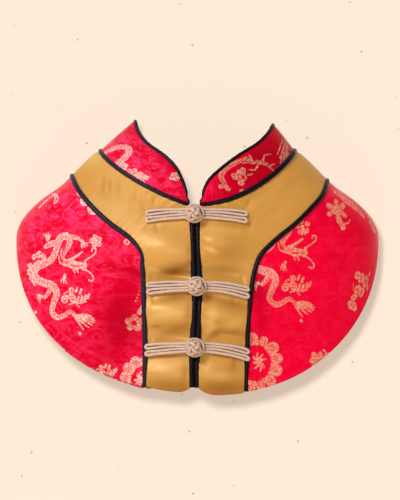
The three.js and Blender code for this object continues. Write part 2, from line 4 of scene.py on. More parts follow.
import bpy
import numpy as np
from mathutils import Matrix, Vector


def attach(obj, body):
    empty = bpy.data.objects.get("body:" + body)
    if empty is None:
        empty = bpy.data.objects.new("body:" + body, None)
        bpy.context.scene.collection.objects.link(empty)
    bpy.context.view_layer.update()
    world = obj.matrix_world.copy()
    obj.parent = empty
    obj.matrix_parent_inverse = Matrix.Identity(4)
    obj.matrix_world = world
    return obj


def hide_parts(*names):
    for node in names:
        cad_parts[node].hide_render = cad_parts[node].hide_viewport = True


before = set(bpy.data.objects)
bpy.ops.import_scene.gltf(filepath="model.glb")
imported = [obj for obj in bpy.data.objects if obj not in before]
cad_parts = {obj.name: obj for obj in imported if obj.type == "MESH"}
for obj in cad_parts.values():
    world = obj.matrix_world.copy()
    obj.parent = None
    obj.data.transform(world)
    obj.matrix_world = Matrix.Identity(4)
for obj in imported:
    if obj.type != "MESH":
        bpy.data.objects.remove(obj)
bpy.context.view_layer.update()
MM = 0.001
QUARTER = math.pi / 2

# ---------------------------------------------------------------- the capelet's sizes

CLOTH = 1.4
GAP = 0.3
PIPING_R = 1.6
CENTRE_PIPING_R = 1.93
NECK_PIPING_R = 1.55
COLLAR_PIPING_R = 1.28
PIPING_PROUD = 0.9
SEAM_ROOM = 1.7  # half of what a seam leaves free for its piping
SEAM_CLEAR = 1.25  # a cloth's edge tucks in under the piping

FORM = [  # z, half width, depth in front, depth behind
    (20, 63.5, 38, 38),
    (16.5, 69, 38.7, 38.5),
    (9.3, 76.7, 40, 39.5),
    (-4, 90, 42.5, 41),
    (-14.7, 104.8, 44.5, 42.5),
    (-26.7, 116, 47, 44),
    (-38.5, 120, 49.3, 45.6),
    (-90, 120, 57, 50),
    (-145, 120, 61, 52),
]
HALF, FRONT, BACK = 1, 2, 3
KEEL = {FRONT: 1.6, BACK: 2.0}
SIDE_ROUND = 2.4

HEM_TOP = -38.5
HEM_POWER = 2.2
HEM_FALL = {FRONT: 102.9, BACK: 97.2}
HEM_LEAN = 0.05  # the front hem hangs a little lower on the right
NOTCH_RISE, NOTCH_WIDTH = 4.2, 5.5

FRONT_LINE = [  # z, x of the line down which the two fronts meet
    (0, -1.9),
    (-20, -1.9),
    (-50, -1.2),
    (-77, -0.2),
    (-104, -1.3),
    (-125, -2.2),
    (-145, -2),
]

NECK_SIDE_Z, NECK_FRONT_Z, NECK_BACK_Z = 19, -16.5, -38
YOKE_BACK_Z = -65
COLLAR_BACK_Z = -19
BACK_BOW = (2, 0.8)
COLLAR_FORM = [(42, 0, 33, 31), (20, 0, 36.5, 34), (0, 0, 40.5, 38), (-20, 0, 44.5, 42)]

LEFT, RIGHT = -1, 1
NAME = {LEFT: "left", RIGHT: "right"}
YOKE_PIPING_R = {LEFT: 1.74, RIGHT: PIPING_R}
NECK_BOW = {LEFT: (1.18, 0.75), RIGHT: (1.9, 0.85)}
YOKE_SEAM = {  # x out from the middle, z, from the shoulder to the hem; the bend is row 5
    LEFT: [(84.3, 2.5), (78.5, -7.5), (69.3, -18.7), (57.7, -29.3), (44.6, -39),
           (37.2, -48.5), (36, -60), (35, -90), (34.4, -120), (35, -138.4)],
    RIGHT: [(87, -0.5), (83, -10), (75.7, -18.7), (65, -29.3), (53, -39),
            (42.4, -49.5), (38, -60), (35, -77.3), (33, -105), (32, -138.8)],
}
BEND_ROW = 5
COLLAR_EDGE = {  # x out from the middle, z, from the front corner up to the side
    LEFT: [(7.6, -12.6), (8, -7), (10.6, 0.6), (14.6, 8.3), (22, 15.9), (33.2, 24),
           (39, 31.5), (41.5, 39)],
    RIGHT: [(4, -12.6), (4.6, -7), (8.4, 0.3), (16.6, 7.9), (27.2, 15.9), (40, 24),
            (47, 31), (50.3, 36.5)],
}

FROGS = [  # name, height, drop and reach of the left and of the right leg
    ("top", -22.4, (2.2, 33.6), (2.6, 32.4)),
    ("middle", -70.6, (1.4, 33.0), (4.4, 33.6)),
    ("bottom", -111, (2.0, 34.0), (5.2, 33.6)),
]

# Soft folds: x, z, way it runs in degrees, half length, half width, how far out.
FOLDS = [
    (-20, -44, 4, 16, 9, 1.6), (-19, -64, 2, 15, 4, -1.5), (-19, -86, -6, 15, 7, 1.4),
    (-19, -97, -8, 14, 3.5, -1.1), (-19, -128, 3, 14, 9, 1.3), (18, -42, -12, 15, 7, 1.2),
    (19, -60, -8, 14, 5, -1.3), (19, -90, -10, 15, 7, 1.4), (16, -104, 20, 11, 3.5, -1.2),
    (18, -128, -3, 14, 8, 1.3), (-52, -61, 6, 18, 4, -1.3), (-58, -84, -28, 26, 8, 1.5),
    (-88, -48, 35, 20, 6, 1.3), (-80, -104, -40, 24, 6, -1.2), (60, -66, 8, 20, 6, 1.3),
    (62, -92, 24, 24, 6, -1.3), (92, -60, -50, 22, 7, 1.3), (84, -108, 42, 22, 6, 1.2),
    (56, -14, 40, 14, 5, -1.1), (-60, -8, -60, 10, 4, -0.9),
]
# Smaller pillows, puckers and pulls, in the same columns.
CREASES = [
    # the gold pillows out between the frogs and dips above and under each of them
    (-22, -46, -4, 21, 12, 3.0), (-15, -63.5, -6, 15, 4.2, -3.0), (-19, -78, 4, 18, 3.5, -0.8),
    (-22, -88, -3, 21, 8, 2.6), (-15, -103.5, -7, 15, 4, -2.6), (-20, -118, 3, 18, 3.5, -0.7),
    (-20, -130, 0, 21, 8, 1.6), (18, -38, -8, 14, 9, 2.0), (18, -62.5, -10, 13, 4.2, -2.6),
    (14, -48, -18, 9, 3, 0.9), (13, -54, -10, 8, 2.6, -0.8), (20, -81, -8, 16, 3.5, -0.8),
    (19, -89, -6, 21, 7, 2.2), (19, -103, -10, 15, 4, -2.4), (19, -130, 0, 21, 8, 1.5),
    (11, -95, -26, 7, 2.4, -0.8),
    # puckers at the frogs' stitches
    (-36, -17, 120, 4, 1.3, -0.6), (-38, -21, 165, 4, 1.2, 0.5), (-37, -27, 50, 4, 1.4, -0.6),
    (-31, -13.5, 95, 3.5, 1.3, 0.5), (-28, -14, 80, 3, 1.2, -0.5), (-35, -30, 60, 4, 1.3, 0.5),
    (-27, -31, 100, 3.5, 1.3, -0.4), (-36, -70, 0, 3, 1.2, 0.4), (-30, -66, 70, 3, 1.4, -0.4),
    (-29, -79, 100, 4, 1.4, -0.5), (-31, -107, 70, 3, 1.4, -0.5),
    (34, -16, 60, 5, 1.5, -0.7), (38, -19, 35, 6, 1.8, 0.7), (40, -26, 18, 8, 1.8, -0.7),
    (35, -31, 60, 6, 1.8, -0.6), (28, -33, 85, 4, 1.4, 0.4), (30, -67, 100, 4, 1.5, -0.5),
    (24, -80, 84, 4, 1.5, -0.4), (30, -108, 75, 4, 1.5, -0.4), (25, -121, 95, 4, 1.5, -0.5),
    (12, -47, -10, 6, 1.6, 0.4), (12, -97, 12, 6, 1.6, -0.4),
    # pulls and ripples in the brocade
    (-58, -58, -14, 20, 11, 1.8), (-52, -86, -8, 18, 9, -1.9), (-58, -122, -30, 22, 8, 1.2),
    (-86, -40, 20, 16, 8, 1.2), (-76, -30, 28, 14, 4, -1.0), (60, -50, 30, 16, 8, 1.2),
    (54, -76, 6, 16, 8, -1.6), (92, -62, -70, 22, 12, 1.6), (66, -108, 10, 22, 9, -1.2),
    (60, -128, 14, 22, 6, 1.0),
    (-46, -56, 10, 12, 1.6, -0.9), (-44, -66, -6, 14, 1.8, 0.9), (-50, -75, 3, 12, 2, -0.6),
    (-64, -36, -35, 15, 2, 0.7), (-72, -30, -50, 12, 1.8, -0.7), (-90, -30, 30, 12, 2.2, 0.6),
    (-46, -100, -20, 12, 2.2, 0.6), (-60, -118, -35, 14, 2.4, -0.5), (-98, -84, 60, 14, 2.5, 0.6),
    (48, -64, 12, 12, 2, -0.8), (46, -84, -8, 13, 2.2, 0.7), (60, -44, 42, 14, 2, -0.6),
    (72, -34, 48, 12, 2, 0.6), (50, -112, 14, 12, 2.4, 0.5), (98, -78, -64, 14, 2.4, -0.5),
    # the yoke's own soft creases
    (-64, -4, 86, 6, 1.7, -0.45), (-59.5, -5, 92, 5, 1.4, -0.4), (-55, -4, 88, 6, 1.6, -0.4),
    (-40, -10.5, 88, 5, 1.6, -0.3), (-31, -14, 96, 4, 1.5, -0.3), (-46, -17, 92, 6, 1.8, 0.3),
    (-72, -8, 70, 5, 1.8, -0.35), (-74, 6, -50, 7, 2, 0.3), (62, -4, 40, 10, 2.6, -0.6),
    (54, -15, 30, 11, 2.8, 0.6), (50, -24, 28, 9, 2.4, -0.5), (72, 4, 50, 7, 2, 0.4),
]
SEAM_PUCKER = 0.2
LINING_DROP = 1.1  # what shows of the lining under the right gold hem


# ---------------------------------------------------------------- the form under the cloth

def column(rows, key, z):
    """A column of a table at heights z, by cubic Hermite pieces. Rows run downwards."""
    table = np.array(rows, float)
    heights, values = table[:, 0], table[:, key]
    z = np.clip(np.asarray(z, float), heights[-1], heights[0])
    slopes = np.zeros(len(rows))
    slopes[1:-1] = (values[2:] - values[:-2]) / (heights[2:] - heights[:-2])
    i = np.clip(np.searchsorted(-heights, -z, side="right") - 1, 0, len(rows) - 2)
    span = heights[i + 1] - heights[i]
    t = (z - heights[i]) / span
    ease = t * t * (3 - 2 * t)
    straight = values[i] * (1 - ease) + values[i + 1] * ease
    leave = slopes[i] * span * t * (1 - t) ** 2
    return straight + leave + slopes[i + 1] * span * t * t * (t - 1)


def half_width(z):
    return column(FORM, HALF, z)


def roundness(face, u):
    return (1 - np.minimum(1, np.abs(u)) ** KEEL[face]) ** (1 / SIDE_ROUND)


def off_sides(u):
    """1 in the middle, falling to 0 at the shoulder line, where front and back meet."""
    return (1 - u ** 4) ** 2


def folded(x, z, rows):
    total = np.zeros_like(x)
    for at_x, at_z, way, long, wide, out in rows:
        a = math.radians(way)
        along = (x - at_x) * math.cos(a) + (z - at_z) * math.sin(a)
        across = (z - at_z) * math.cos(a) - (x - at_x) * math.sin(a)
        total += out * np.exp(-((along / long) ** 2) - (across / wide) ** 2)
    return total


def on_cape(face, turn, z, out=0.0, creased=True):
    """Points of the cape. turn runs from the middle to a quarter at the shoulder line."""
    turn, z = np.broadcast_arrays(np.asarray(turn, float), np.asarray(z, float))
    u = np.sin(turn)
    x = u * half_width(z)
    depth = GAP / 2 + column(FORM, face, z) * roundness(face, u) + out
    if face == FRONT:
        flatter = off_sides(u)
        depth = depth + folded(x, z, FOLDS) * flatter
        if creased:
            depth = depth + folded(x, z, CREASES) * flatter
    return np.stack([x, -depth if face == FRONT else depth, z], axis=-1)


def hem_z(face, x):
    share = np.minimum(1, np.abs(x) / half_width(HEM_TOP))
    fall = HEM_FALL[face] * (1 - share ** HEM_POWER) ** (1 / HEM_POWER)
    if face == BACK:
        return HEM_TOP - fall
    lean = HEM_LEAN * x * (1 - share ** 2) ** 2
    off = (x - column(FRONT_LINE, 1, HEM_TOP - fall)) / NOTCH_WIDTH
    return HEM_TOP - fall - lean + NOTCH_RISE * np.exp(-off * off)


# ---------------------------------------------------------------- curves on the cape

FINE = 240
SPREAD = np.linspace(0, 1, FINE + 1)


def seen(x, z):
    return np.stack([np.arcsin(np.clip(x / half_width(z), -1, 1)), z], axis=-1)


def spline(points, count):
    """A Catmull-Rom curve through points, with count steps in all."""
    p = np.array(points, float)
    p = np.vstack([2 * p[0] - p[1], p, 2 * p[-1] - p[-2]])
    t = np.linspace(0, len(points) - 1 - 1e-9, count + 1)
    i = t.astype(int)
    s = (t - i)[:, None]
    a, b, c, d = p[i], p[i + 1], p[i + 2], p[i + 3]
    return 0.5 * (2 * b + (c - a) * s + (2 * a - 5 * b + 4 * c - d) * s ** 2
                  + (3 * b - a - 3 * c + d) * s ** 3)


TANGENT_STEP = 1e-3
OFF_SHOULDER = 2e-3  # the form has no tangent at the shoulder line, so it is read beside it


def tangents(face, turn, z):
    turned = on_cape(face, turn + TANGENT_STEP, z, creased=False)
    turned -= on_cape(face, turn - TANGENT_STEP, z, creased=False)
    lifted = on_cape(face, turn, z + TANGENT_STEP, creased=False)
    lifted -= on_cape(face, turn, z - TANGENT_STEP, creased=False)
    out = np.cross(turned, lifted)
    out /= np.linalg.norm(out, axis=-1, keepdims=True)
    return (turned / (2 * TANGENT_STEP), lifted / (2 * TANGENT_STEP),
            out if face == FRONT else -out)


def outward(face, path):
    """The way out of the cloth at each (turn, z) of a path."""
    safe = np.clip(path[:, 0], OFF_SHOULDER - QUARTER, QUARTER - OFF_SHOULDER)
    return tangents(face, safe, path[:, 1])[2]


def moved(face, side, curve, d):
    """The same curve moved along the cloth by d, which keeps its end on the shoulder line."""
    turn, z = curve[:, 0], curve[:, 1]
    way = np.gradient(on_cape(face, side * turn, z, creased=False), axis=0)
    way /= np.linalg.norm(way, axis=1, keepdims=True)
    safe = np.minimum(turn, QUARTER - OFF_SHOULDER)
    by_turn, by_height, out = tangents(face, side * safe, z)
    aside = np.cross(way, out) * (side if face == FRONT else -side) * d
    tt = (by_turn ** 2).sum(1)
    hh = (by_height ** 2).sum(1)
    th = (by_turn * by_height).sum(1)
    at, ah = (by_turn * aside).sum(1), (by_height * aside).sum(1)
    scale = tt * hh - th * th
    new = np.minimum(QUARTER, turn + side * (hh * at - th * ah) / scale)
    new[turn > QUARTER - 1e-4] = QUARTER
    return np.stack([new, z + (tt * ah - th * at) / scale], axis=-1)


def run_of(places):
    """How far along their path the places lie."""
    steps = np.linalg.norm(np.diff(places, axis=0), axis=1)
    return np.concatenate([[0], np.cumsum(steps)])


def resampled(points, places, count):
    """points at count + 1 even steps along places, which has one 3-D point for each."""
    along = run_of(places)
    goals = np.linspace(0, along[-1], count + 1)
    return np.stack([np.interp(goals, along, points[:, k]) for k in range(points.shape[1])], -1)


def spaced(face, side, curve, count):
    """The curve in even steps along the cloth, with its turns signed for its side."""
    signed = curve * [side, 1]
    return resampled(signed, on_cape(face, signed[:, 0], signed[:, 1], creased=False), count)


def beside(side, z, d):
    """x, out from the middle, of the line that lies d to this side of the meeting line."""
    return d + side * column(FRONT_LINE, 1, z)


def bowed(side_z, low_z, bow):
    w = np.sin(SPREAD * QUARTER)
    return w, side_z - (side_z - low_z) * np.maximum(0, 1 - w ** bow[0]) ** bow[1]


NECK_FROM = SEAM_ROOM + GAP / 2 + 1.5


def neck_seam(face, side):
    front = face == FRONT
    inner = beside(side, NECK_FRONT_Z, NECK_FROM) if front else 0
    low, bow = (NECK_FRONT_Z, NECK_BOW[side]) if front else (NECK_BACK_Z, BACK_BOW)
    w, z = bowed(NECK_SIDE_Z, low, bow)
    curve = seen(inner + (half_width(NECK_SIDE_Z) - inner) * w, z)
    curve[-1, 0] = QUARTER
    return curve


def back_yoke_seam(side):
    end = YOKE_SEAM[side][0][1]
    w, z = bowed(end, YOKE_BACK_Z, BACK_BOW)
    curve = seen(half_width(end) * w, z)
    curve[-1, 0] = QUARTER
    return curve


def yoke_seam(side):
    rows = [list(row) for row in YOKE_SEAM[side]]
    rows[0][0] = float(half_width(rows[0][1]))
    points = spline(rows, FINE)
    curve = seen(points[:, 0], points[:, 1])
    curve[0] = (QUARTER, rows[0][1])
    return curve


BEND = round(FINE * BEND_ROW / (len(YOKE_SEAM[LEFT]) - 1))


def to_hem(side, curve):
    curve = curve.copy()
    x = math.sin(curve[-1, 0]) * half_width(curve[-1, 1])
    curve[-1] = seen(x, hem_z(FRONT, side * x))
    return curve


def meeting_edge(side, top, d):
    low = hem_z(FRONT, side * beside(side, -139, d))
    z = top + (low - top) * SPREAD
    return seen(beside(side, z, d), z)


def hem_curve(face, side, start):
    x = start + (half_width(HEM_TOP) - start) * np.sin(SPREAD * QUARTER)
    curve = seen(x, hem_z(face, side * x))
    curve[-1] = (QUARTER, HEM_TOP)
    return curve


# ---------------------------------------------------------------- cloth as grids of (turn, z)

def lerp(a, b, t):
    return a + (b - a) * t


def pick(rows, t):
    """rows at shares t of the way along."""
    at = np.linspace(0, 1, len(rows))
    return np.stack([np.interp(t, at, rows[:, k]) for k in range(rows.shape[1])], -1)


def patch(bottom, top, left, right):
    """A four-sided patch as a function of shares s across and t up."""
    def at(s, t):
        across = lerp(pick(bottom, s), pick(top, s), t[:, None])
        up = lerp(pick(left, t), pick(right, t), s[:, None])
        corners = lerp(lerp(bottom[0], bottom[-1], s[:, None]),
                       lerp(top[0], top[-1], s[:, None]), t[:, None])
        return across + up - corners
    return at


def brocade_front(side):
    edge = to_hem(side, moved(FRONT, side, yoke_seam(side), -SEAM_CLEAR))
    start = math.sin(edge[-1, 0]) * float(half_width(edge[-1, 1]))
    shoulder = np.stack([np.full(FINE + 1, QUARTER), lerp(HEM_TOP, edge[0, 1], SPREAD)], -1)
    return patch(
        spaced(FRONT, side, hem_curve(FRONT, side, start), FINE),
        spaced(FRONT, side, edge[: BEND + 1][::-1], FINE),
        spaced(FRONT, side, edge[BEND:][::-1], FINE),
        spaced(FRONT, side, shoulder, FINE),
    )


GOLD_IN = 2 * SEAM_ROOM + 1.5 * GAP - 0.75


def gold_front(side):
    outer = moved(FRONT, side, yoke_seam(side), SEAM_CLEAR)
    neck = moved(FRONT, side, neck_seam(FRONT, side), SEAM_CLEAR)[::-1]
    x = np.sin(neck[:, 0]) * half_width(neck[:, 1])
    top = neck[x > beside(side, neck[:, 1], GOLD_IN)]
    start_z = top[-1, 1]
    start = seen(beside(side, start_z, GOLD_IN), start_z)
    upper, lower = 110, 120
    run = lambda a, b: np.vstack([spaced(FRONT, side, a, upper), spaced(FRONT, side, b, lower)[1:]])
    inner = run(np.vstack([top, start]), meeting_edge(side, start_z, GOLD_IN))
    edge = run(outer[: BEND + 1], to_hem(side, outer[BEND:]))

    def at(s, t):
        points = lerp(pick(inner, s), pick(edge, s), t[:, None])
        x = np.sin(points[:, 0]) * half_width(points[:, 1])
        low = hem_z(FRONT, x)
        last = s > 1 - 0.5 / (upper + lower)
        points[last] = seen(x[last], low[last])
        return points
    return at


def across_back(upper, lower):
    """A back piece: s runs from the left shoulder to the right, t from upper to lower."""
    def whole(curve_of):
        left, right = (spaced(BACK, side, curve_of(side), FINE) for side in (LEFT, RIGHT))
        return np.vstack([left[::-1], right[1:]])
    high, low = whole(upper), whole(lower)
    return lambda s, t: lerp(pick(high, s), pick(low, s), t[:, None])


# ---------------------------------------------------------------- the collar

def neck_ring(out, front_steps=60, back_steps=44):
    def run(face, side, count):
        path = spaced(face, side, neck_seam(face, side), count)
        points = on_cape(face, path[:, 0], path[:, 1], creased=False)
        ease = np.ones(count + 1)
        if face == FRONT:  # its front ends lie in the cloth
            ease = np.clip(np.arange(count + 1) * 60 / count / 18, 0, 1)
        ease = ease * (1 - 0.8 * np.abs(path[:, 0] / QUARTER) ** 8)
        return points + outward(face, path) * (out * ease)[:, None]
    return np.vstack([
        run(FRONT, LEFT, front_steps),
        run(BACK, LEFT, back_steps)[::-1][1:],
        run(BACK, RIGHT, back_steps)[1:],
        run(FRONT, RIGHT, front_steps)[::-1][1:],
    ])


def collar_top_ring(front_steps, back_steps):
    def front(side):
        curve = spline(COLLAR_EDGE[side], FINE)
        x, z = curve[:, 0], curve[:, 1]
        depth = column(COLLAR_FORM, FRONT, z) * roundness(FRONT, x / curve[-1, 0])
        points = np.stack([side * x, -depth, z], -1)
        return resampled(points, points, front_steps)

    def back(side):
        tip_x, tip_z = COLLAR_EDGE[side][-1]
        w, z = bowed(tip_z, COLLAR_BACK_Z, BACK_BOW)
        depth = column(COLLAR_FORM, BACK, z) * roundness(BACK, w)
        points = np.stack([side * tip_x * w, depth, z], -1)
        return resampled(points, points, back_steps)
    return np.vstack([front(LEFT), back(LEFT)[::-1][1:], back(RIGHT)[1:], front(RIGHT)[::-1][1:]])


# ---------------------------------------------------------------- mesh helpers

def deselect():
    if bpy.context.mode != "OBJECT":
        bpy.ops.object.mode_set(mode="OBJECT")
    bpy.ops.object.select_all(action="DESELECT")


def select(*objects):
    """Selects these and nothing else, with the first one active."""
    deselect()
    for obj in objects:
        obj.select_set(True)
    bpy.context.view_layer.objects.active = objects[0]


def coordinates(obj):
    flat = np.empty(len(obj.data.vertices) * 3)
    obj.data.vertices.foreach_get("co", flat)
    return flat.reshape(-1, 3)


def added_grid(name, steps_s, steps_t):
    """A flat grid and the shares (s, t) of its vertices."""
    deselect()
    bpy.ops.mesh.primitive_grid_add(x_subdivisions=steps_s, y_subdivisions=steps_t, size=2,
                                    calc_uvs=True)
    obj = bpy.context.object
    obj.name = name
    obj.data.name = name
    shares = (coordinates(obj)[:, :2] + 1) / 2
    return obj, shares[:, 0], shares[:, 1]


def place(obj, points):
    obj.data.vertices.foreach_set("co", (points * MM).ravel())
    obj.data.update()


def use(obj, *materials):
    obj.data.materials.clear()
    for material in materials:
        obj.data.materials.append(material)


def smooth(obj):
    obj.data.polygons.foreach_set("use_smooth", [True] * len(obj.data.polygons))


def store(obj, name, values):
    layer = obj.data.attributes.new(name, "FLOAT", "POINT")
    layer.data.foreach_set("value", np.asarray(values, np.float32))


def write_uv(obj, uv):
    """The cloth's own map: uv has one row for each vertex, in tenths of a metre."""
    layer = obj.data.uv_layers.active or obj.data.uv_layers.new(name="UVMap")
    loops = np.empty(len(obj.data.loops), np.int32)
    obj.data.loops.foreach_get("vertex_index", loops)
    layer.data.foreach_set("uv", uv[loops].ravel())


def thicken(obj, thickness, rim=0):
    select(obj)
    solid = obj.modifiers.new("thickness", "SOLIDIFY")
    solid.thickness = thickness * MM
    solid.offset = 0
    solid.material_offset = 1
    solid.material_offset_rim = rim
    bpy.ops.object.modifier_apply(modifier=solid.name)
    smooth(obj)


def face_out(obj, centre=(0, 0, -60)):
    """Turns an open sheet's faces away from the middle of the hollow."""
    mesh = obj.data
    count = len(mesh.polygons)
    centres, normals = np.empty(count * 3), np.empty(count * 3)
    mesh.polygons.foreach_get("center", centres)
    mesh.polygons.foreach_get("normal", normals)
    away = centres.reshape(-1, 3) - np.array(centre) * MM
    away[:, 2] = 0
    if (away * normals.reshape(-1, 3)).sum() < 0:
        mesh.flip_normals()


def tube(name, path, radius, around=12, up=(0, -1, 0), bumps=0.0):
    """A round cord along a path of many points: a grid rolled up, merged at its seam and
    filled at its ends."""
    path = np.asarray(path, float)
    steps = len(path) - 1
    obj, s, t = added_grid(name, steps, around)
    way = np.gradient(path, axis=0)
    way /= np.linalg.norm(way, axis=1, keepdims=True)
    normal = np.empty_like(path)
    last = np.array(up, float)
    for i, w in enumerate(way):
        last = last - w * last.dot(w)
        last /= np.linalg.norm(last)
        normal[i] = last
    side = np.cross(way, normal)
    i = np.rint(s * steps).astype(int)
    angle = 2 * math.pi * t
    along = run_of(path)[i]
    r = np.broadcast_to(np.asarray(radius, float), (steps + 1,))[i]
    if bumps:
        r = r + bumps * (np.sin(along * 1.7 + 2 * np.sin(along * 0.31)) * 0.5
                         + np.sin(along * 0.83 + angle) * 0.3
                         + np.sin(along * 2.9 + angle * 2) * 0.2)
    points = path[i] + normal[i] * (r * np.cos(angle))[:, None]
    points += side[i] * (r * np.sin(angle))[:, None]
    place(obj, points)
    write_uv(obj, np.stack([along / 100, t * 2 * math.pi * r.mean() / 100], -1))
    select(obj)
    bpy.ops.object.mode_set(mode="EDIT")
    bpy.ops.mesh.select_all(action="SELECT")
    bpy.ops.mesh.remove_doubles(threshold=1e-6)
    bpy.ops.mesh.select_all(action="DESELECT")
    bpy.ops.mesh.select_mode(type="EDGE")
    bpy.ops.mesh.select_non_manifold()
    bpy.ops.mesh.fill_holes(sides=0)
    bpy.ops.mesh.select_all(action="SELECT")
    bpy.ops.mesh.normals_make_consistent(inside=False)
    bpy.ops.object.mode_set(mode="OBJECT")
    smooth(obj)
    return obj


def joined(name, objects):
    select(*objects)
    bpy.ops.object.join()
    obj = bpy.context.object
    obj.name = name
    obj.data.name = name
    return obj


# ---------------------------------------------------------------- the brocade's figures
# A figure is two lists of strokes, the gold and what is cut out of it again. A stroke is
# points and a width at each, in millimetres, x to the right and y up.

STROKE_STEPS = 5  # between two points of a curved stroke


def stroke(points, start, end=None):
    path = np.array(points, float)
    if len(points) > 2:
        path = spline(points, STROKE_STEPS * (len(points) - 1))
    widths = np.linspace(start, start if end is None else end, len(path))
    return path, widths


def dot(x, y, size):
    return stroke([(x - 0.02, y), (x + 0.02, y)], size)


def ring(x, y, rx, ry, way=0.0, width=0.9, share=1.0, begin=0.0):
    """An ellipse's outline, or a share of it."""
    a = math.radians(begin) + np.linspace(0, 2 * math.pi * share, 15)
    b = math.radians(way)
    px, py = rx * np.cos(a), ry * np.sin(a)
    return np.stack([x + px * math.cos(b) - py * math.sin(b),
                     y + px * math.sin(b) + py * math.cos(b)], -1), np.full(15, width)


def spiral(x, y, r, turns, begin, width, grow=1):
    a = np.linspace(0, 2 * math.pi * turns, 16)
    shrink = 1 - 0.8 * a / a[-1]
    points = np.stack([x + r * shrink * np.cos(begin + a * grow),
                       y + r * shrink * np.sin(begin + a * grow)], -1)
    return points, np.full(len(points), width)


def scaled(points, widths, step=1.7):
    """A scaly body: a thick stroke, with a tick cut for each scale and a line for its belly."""
    path = spline(points, 12 * (len(points) - 1))
    wide = np.interp(np.linspace(0, 1, len(path)), np.linspace(0, 1, len(widths)), widths)
    rows = resampled(np.column_stack([path, wide]), path,
                     max(4, int(np.linalg.norm(np.diff(path, axis=0), axis=1).sum() / step)))
    path, wide = rows[:, :2], rows[:, 2]
    way = np.gradient(path, axis=0)
    way /= np.linalg.norm(way, axis=1, keepdims=True)
    across = np.stack([-way[:, 1], way[:, 0]], -1) * wide[:, None] / 2
    ticks = [(np.array([p - a * 0.62, p + w * 0.75, p + a * 0.28]), np.full(3, 0.46))
             for p, a, w in zip(path[1:-1], across[1:-1], way[1:-1])]
    ticks.append((path + across * 0.5, np.full(len(path), 0.34)))
    return [(path, wide)], ticks


def claw(x, y, way, size=5.2, toes=(-38, -12, 14, 40)):
    """A foot with its toes spread, pointing way."""
    a = math.radians(way)
    strokes = [dot(x, y, 2.2)]
    for spread in toes:
        b = a + math.radians(spread)
        strokes.append(stroke([(x, y), (x + 0.6 * size * math.cos(b), y + 0.6 * size * math.sin(b)),
                               (x + size * math.cos(b + 0.2), y + size * math.sin(b + 0.2))],
                              1.2, 0.7))
    return strokes


def dragon():
    """A dragon of the common woven kind: head to the right, coils down the left, and its
    tail fanned out below."""
    body = [(6.5, 9), (3.5, 13), (6, 18.5), (8.5, 23.5), (6, 27.5), (1, 25.5), (-1, 19.5),
            (-4, 13), (-9.5, 9.5), (-15.5, 8), (-19, 4), (-17, -0.5), (-11, -3.5), (-4.5, -5.5),
            (-1.5, -10.5), (-4, -16.5), (-5.5, -22.5), (-1.5, -26.5), (4, -25), (8, -22.5),
            (12, -25.5)]
    gold, cut = scaled(body, [1.8, 1.9, 2.8, 3.8, 4.6, 4.8, 4.4, 4.4, 5, 6.4, 6.4, 5.4, 5.2, 5.4,
                              4.6, 4, 3.8, 3.6, 3.2, 2.8, 2.4])
    for limb, widths in (([(8, 26.5), (12, 26.6), (16, 25)], [3.8, 3.2, 2]),
                         ([(0, 23), (-5, 22.5), (-9.5, 20.5)], [4.2, 4, 3]),
                         ([(-5.5, -6.5), (-8, -10.5), (-10.5, -13)], [3.6, 3, 2.4])):
        more, ticks = scaled(limb, widths)
        gold, cut = gold + more, cut + ticks
    gold += claw(17, 24, -65, 4.4) + claw(-8, 25, 80, 4.4) + claw(-13, -12.5, 195, 4.6)
    gold += claw(5, 1.5, -100, 5.5, (-34, -12, 10))
    gold += [  # the head: brow, snout, jaw, mane, horn, whiskers and beard
        stroke([(6, 9.5), (9, 11), (12, 9.6), (17, 9)], 4.2, 2.4),
        stroke([(8, 7.6), (12, 6.2), (16.5, 6.8)], 2.0, 1.6),
        stroke([(18, 6), (19.4, 8), (19, 10.5)], 2.4, 1.8),
        stroke([(5, 12), (2, 15), (3, 19)], 1.1, 0.8),
        stroke([(5, 8), (1.5, 10), (0.5, 14.5)], 1.1, 0.8),
        stroke([(9, 12), (13, 14.2), (17, 17)], 1.7, 1.3),
        stroke([(18.5, 11), (22, 13), (25.5, 15.5), (26.3, 18.6), (24, 19.2), (23.6, 17.4)],
               1.0, 0.85),
        stroke([(18, 6), (22, 3.6), (24.8, 0), (23.8, -2.4), (21.6, -1.6)], 1.0, 0.85),
        stroke([(11, 5), (12, 3.2)], 0.9), stroke([(13.5, 4.8), (14.5, 3)], 0.9),
    ]
    cut += [dot(10.4, 9.8, 0.8), stroke([(12, 8), (16, 8), (18.4, 8.4)], 0.45),
            stroke([(7, 9), (8.6, 10.2)], 0.45)]
    for k, (x, y, r) in enumerate([(-18.5, 13.2, 2.3), (-14.6, 14.8, 2.4), (-10.6, 14, 2.1),
                                   (-22, 8.4, 2.1), (-23.2, 4, 2.2), (-21.6, -0.6, 2.2),
                                   (-18.4, -4, 2.1)]):
        gold.append(spiral(x, y, r, 1.1, k, 1.15))
    for k in range(7):
        tip = 25.5 - 0.55 * (k - 2.2) ** 2
        gold.append(stroke([(12, -25.5 - 0.25 * k), ((12 + tip) / 2, -24.4 - 1.05 * k),
                            (tip, -25.4 - 1.5 * k)], 1.15, 0.8))
    return gold, cut


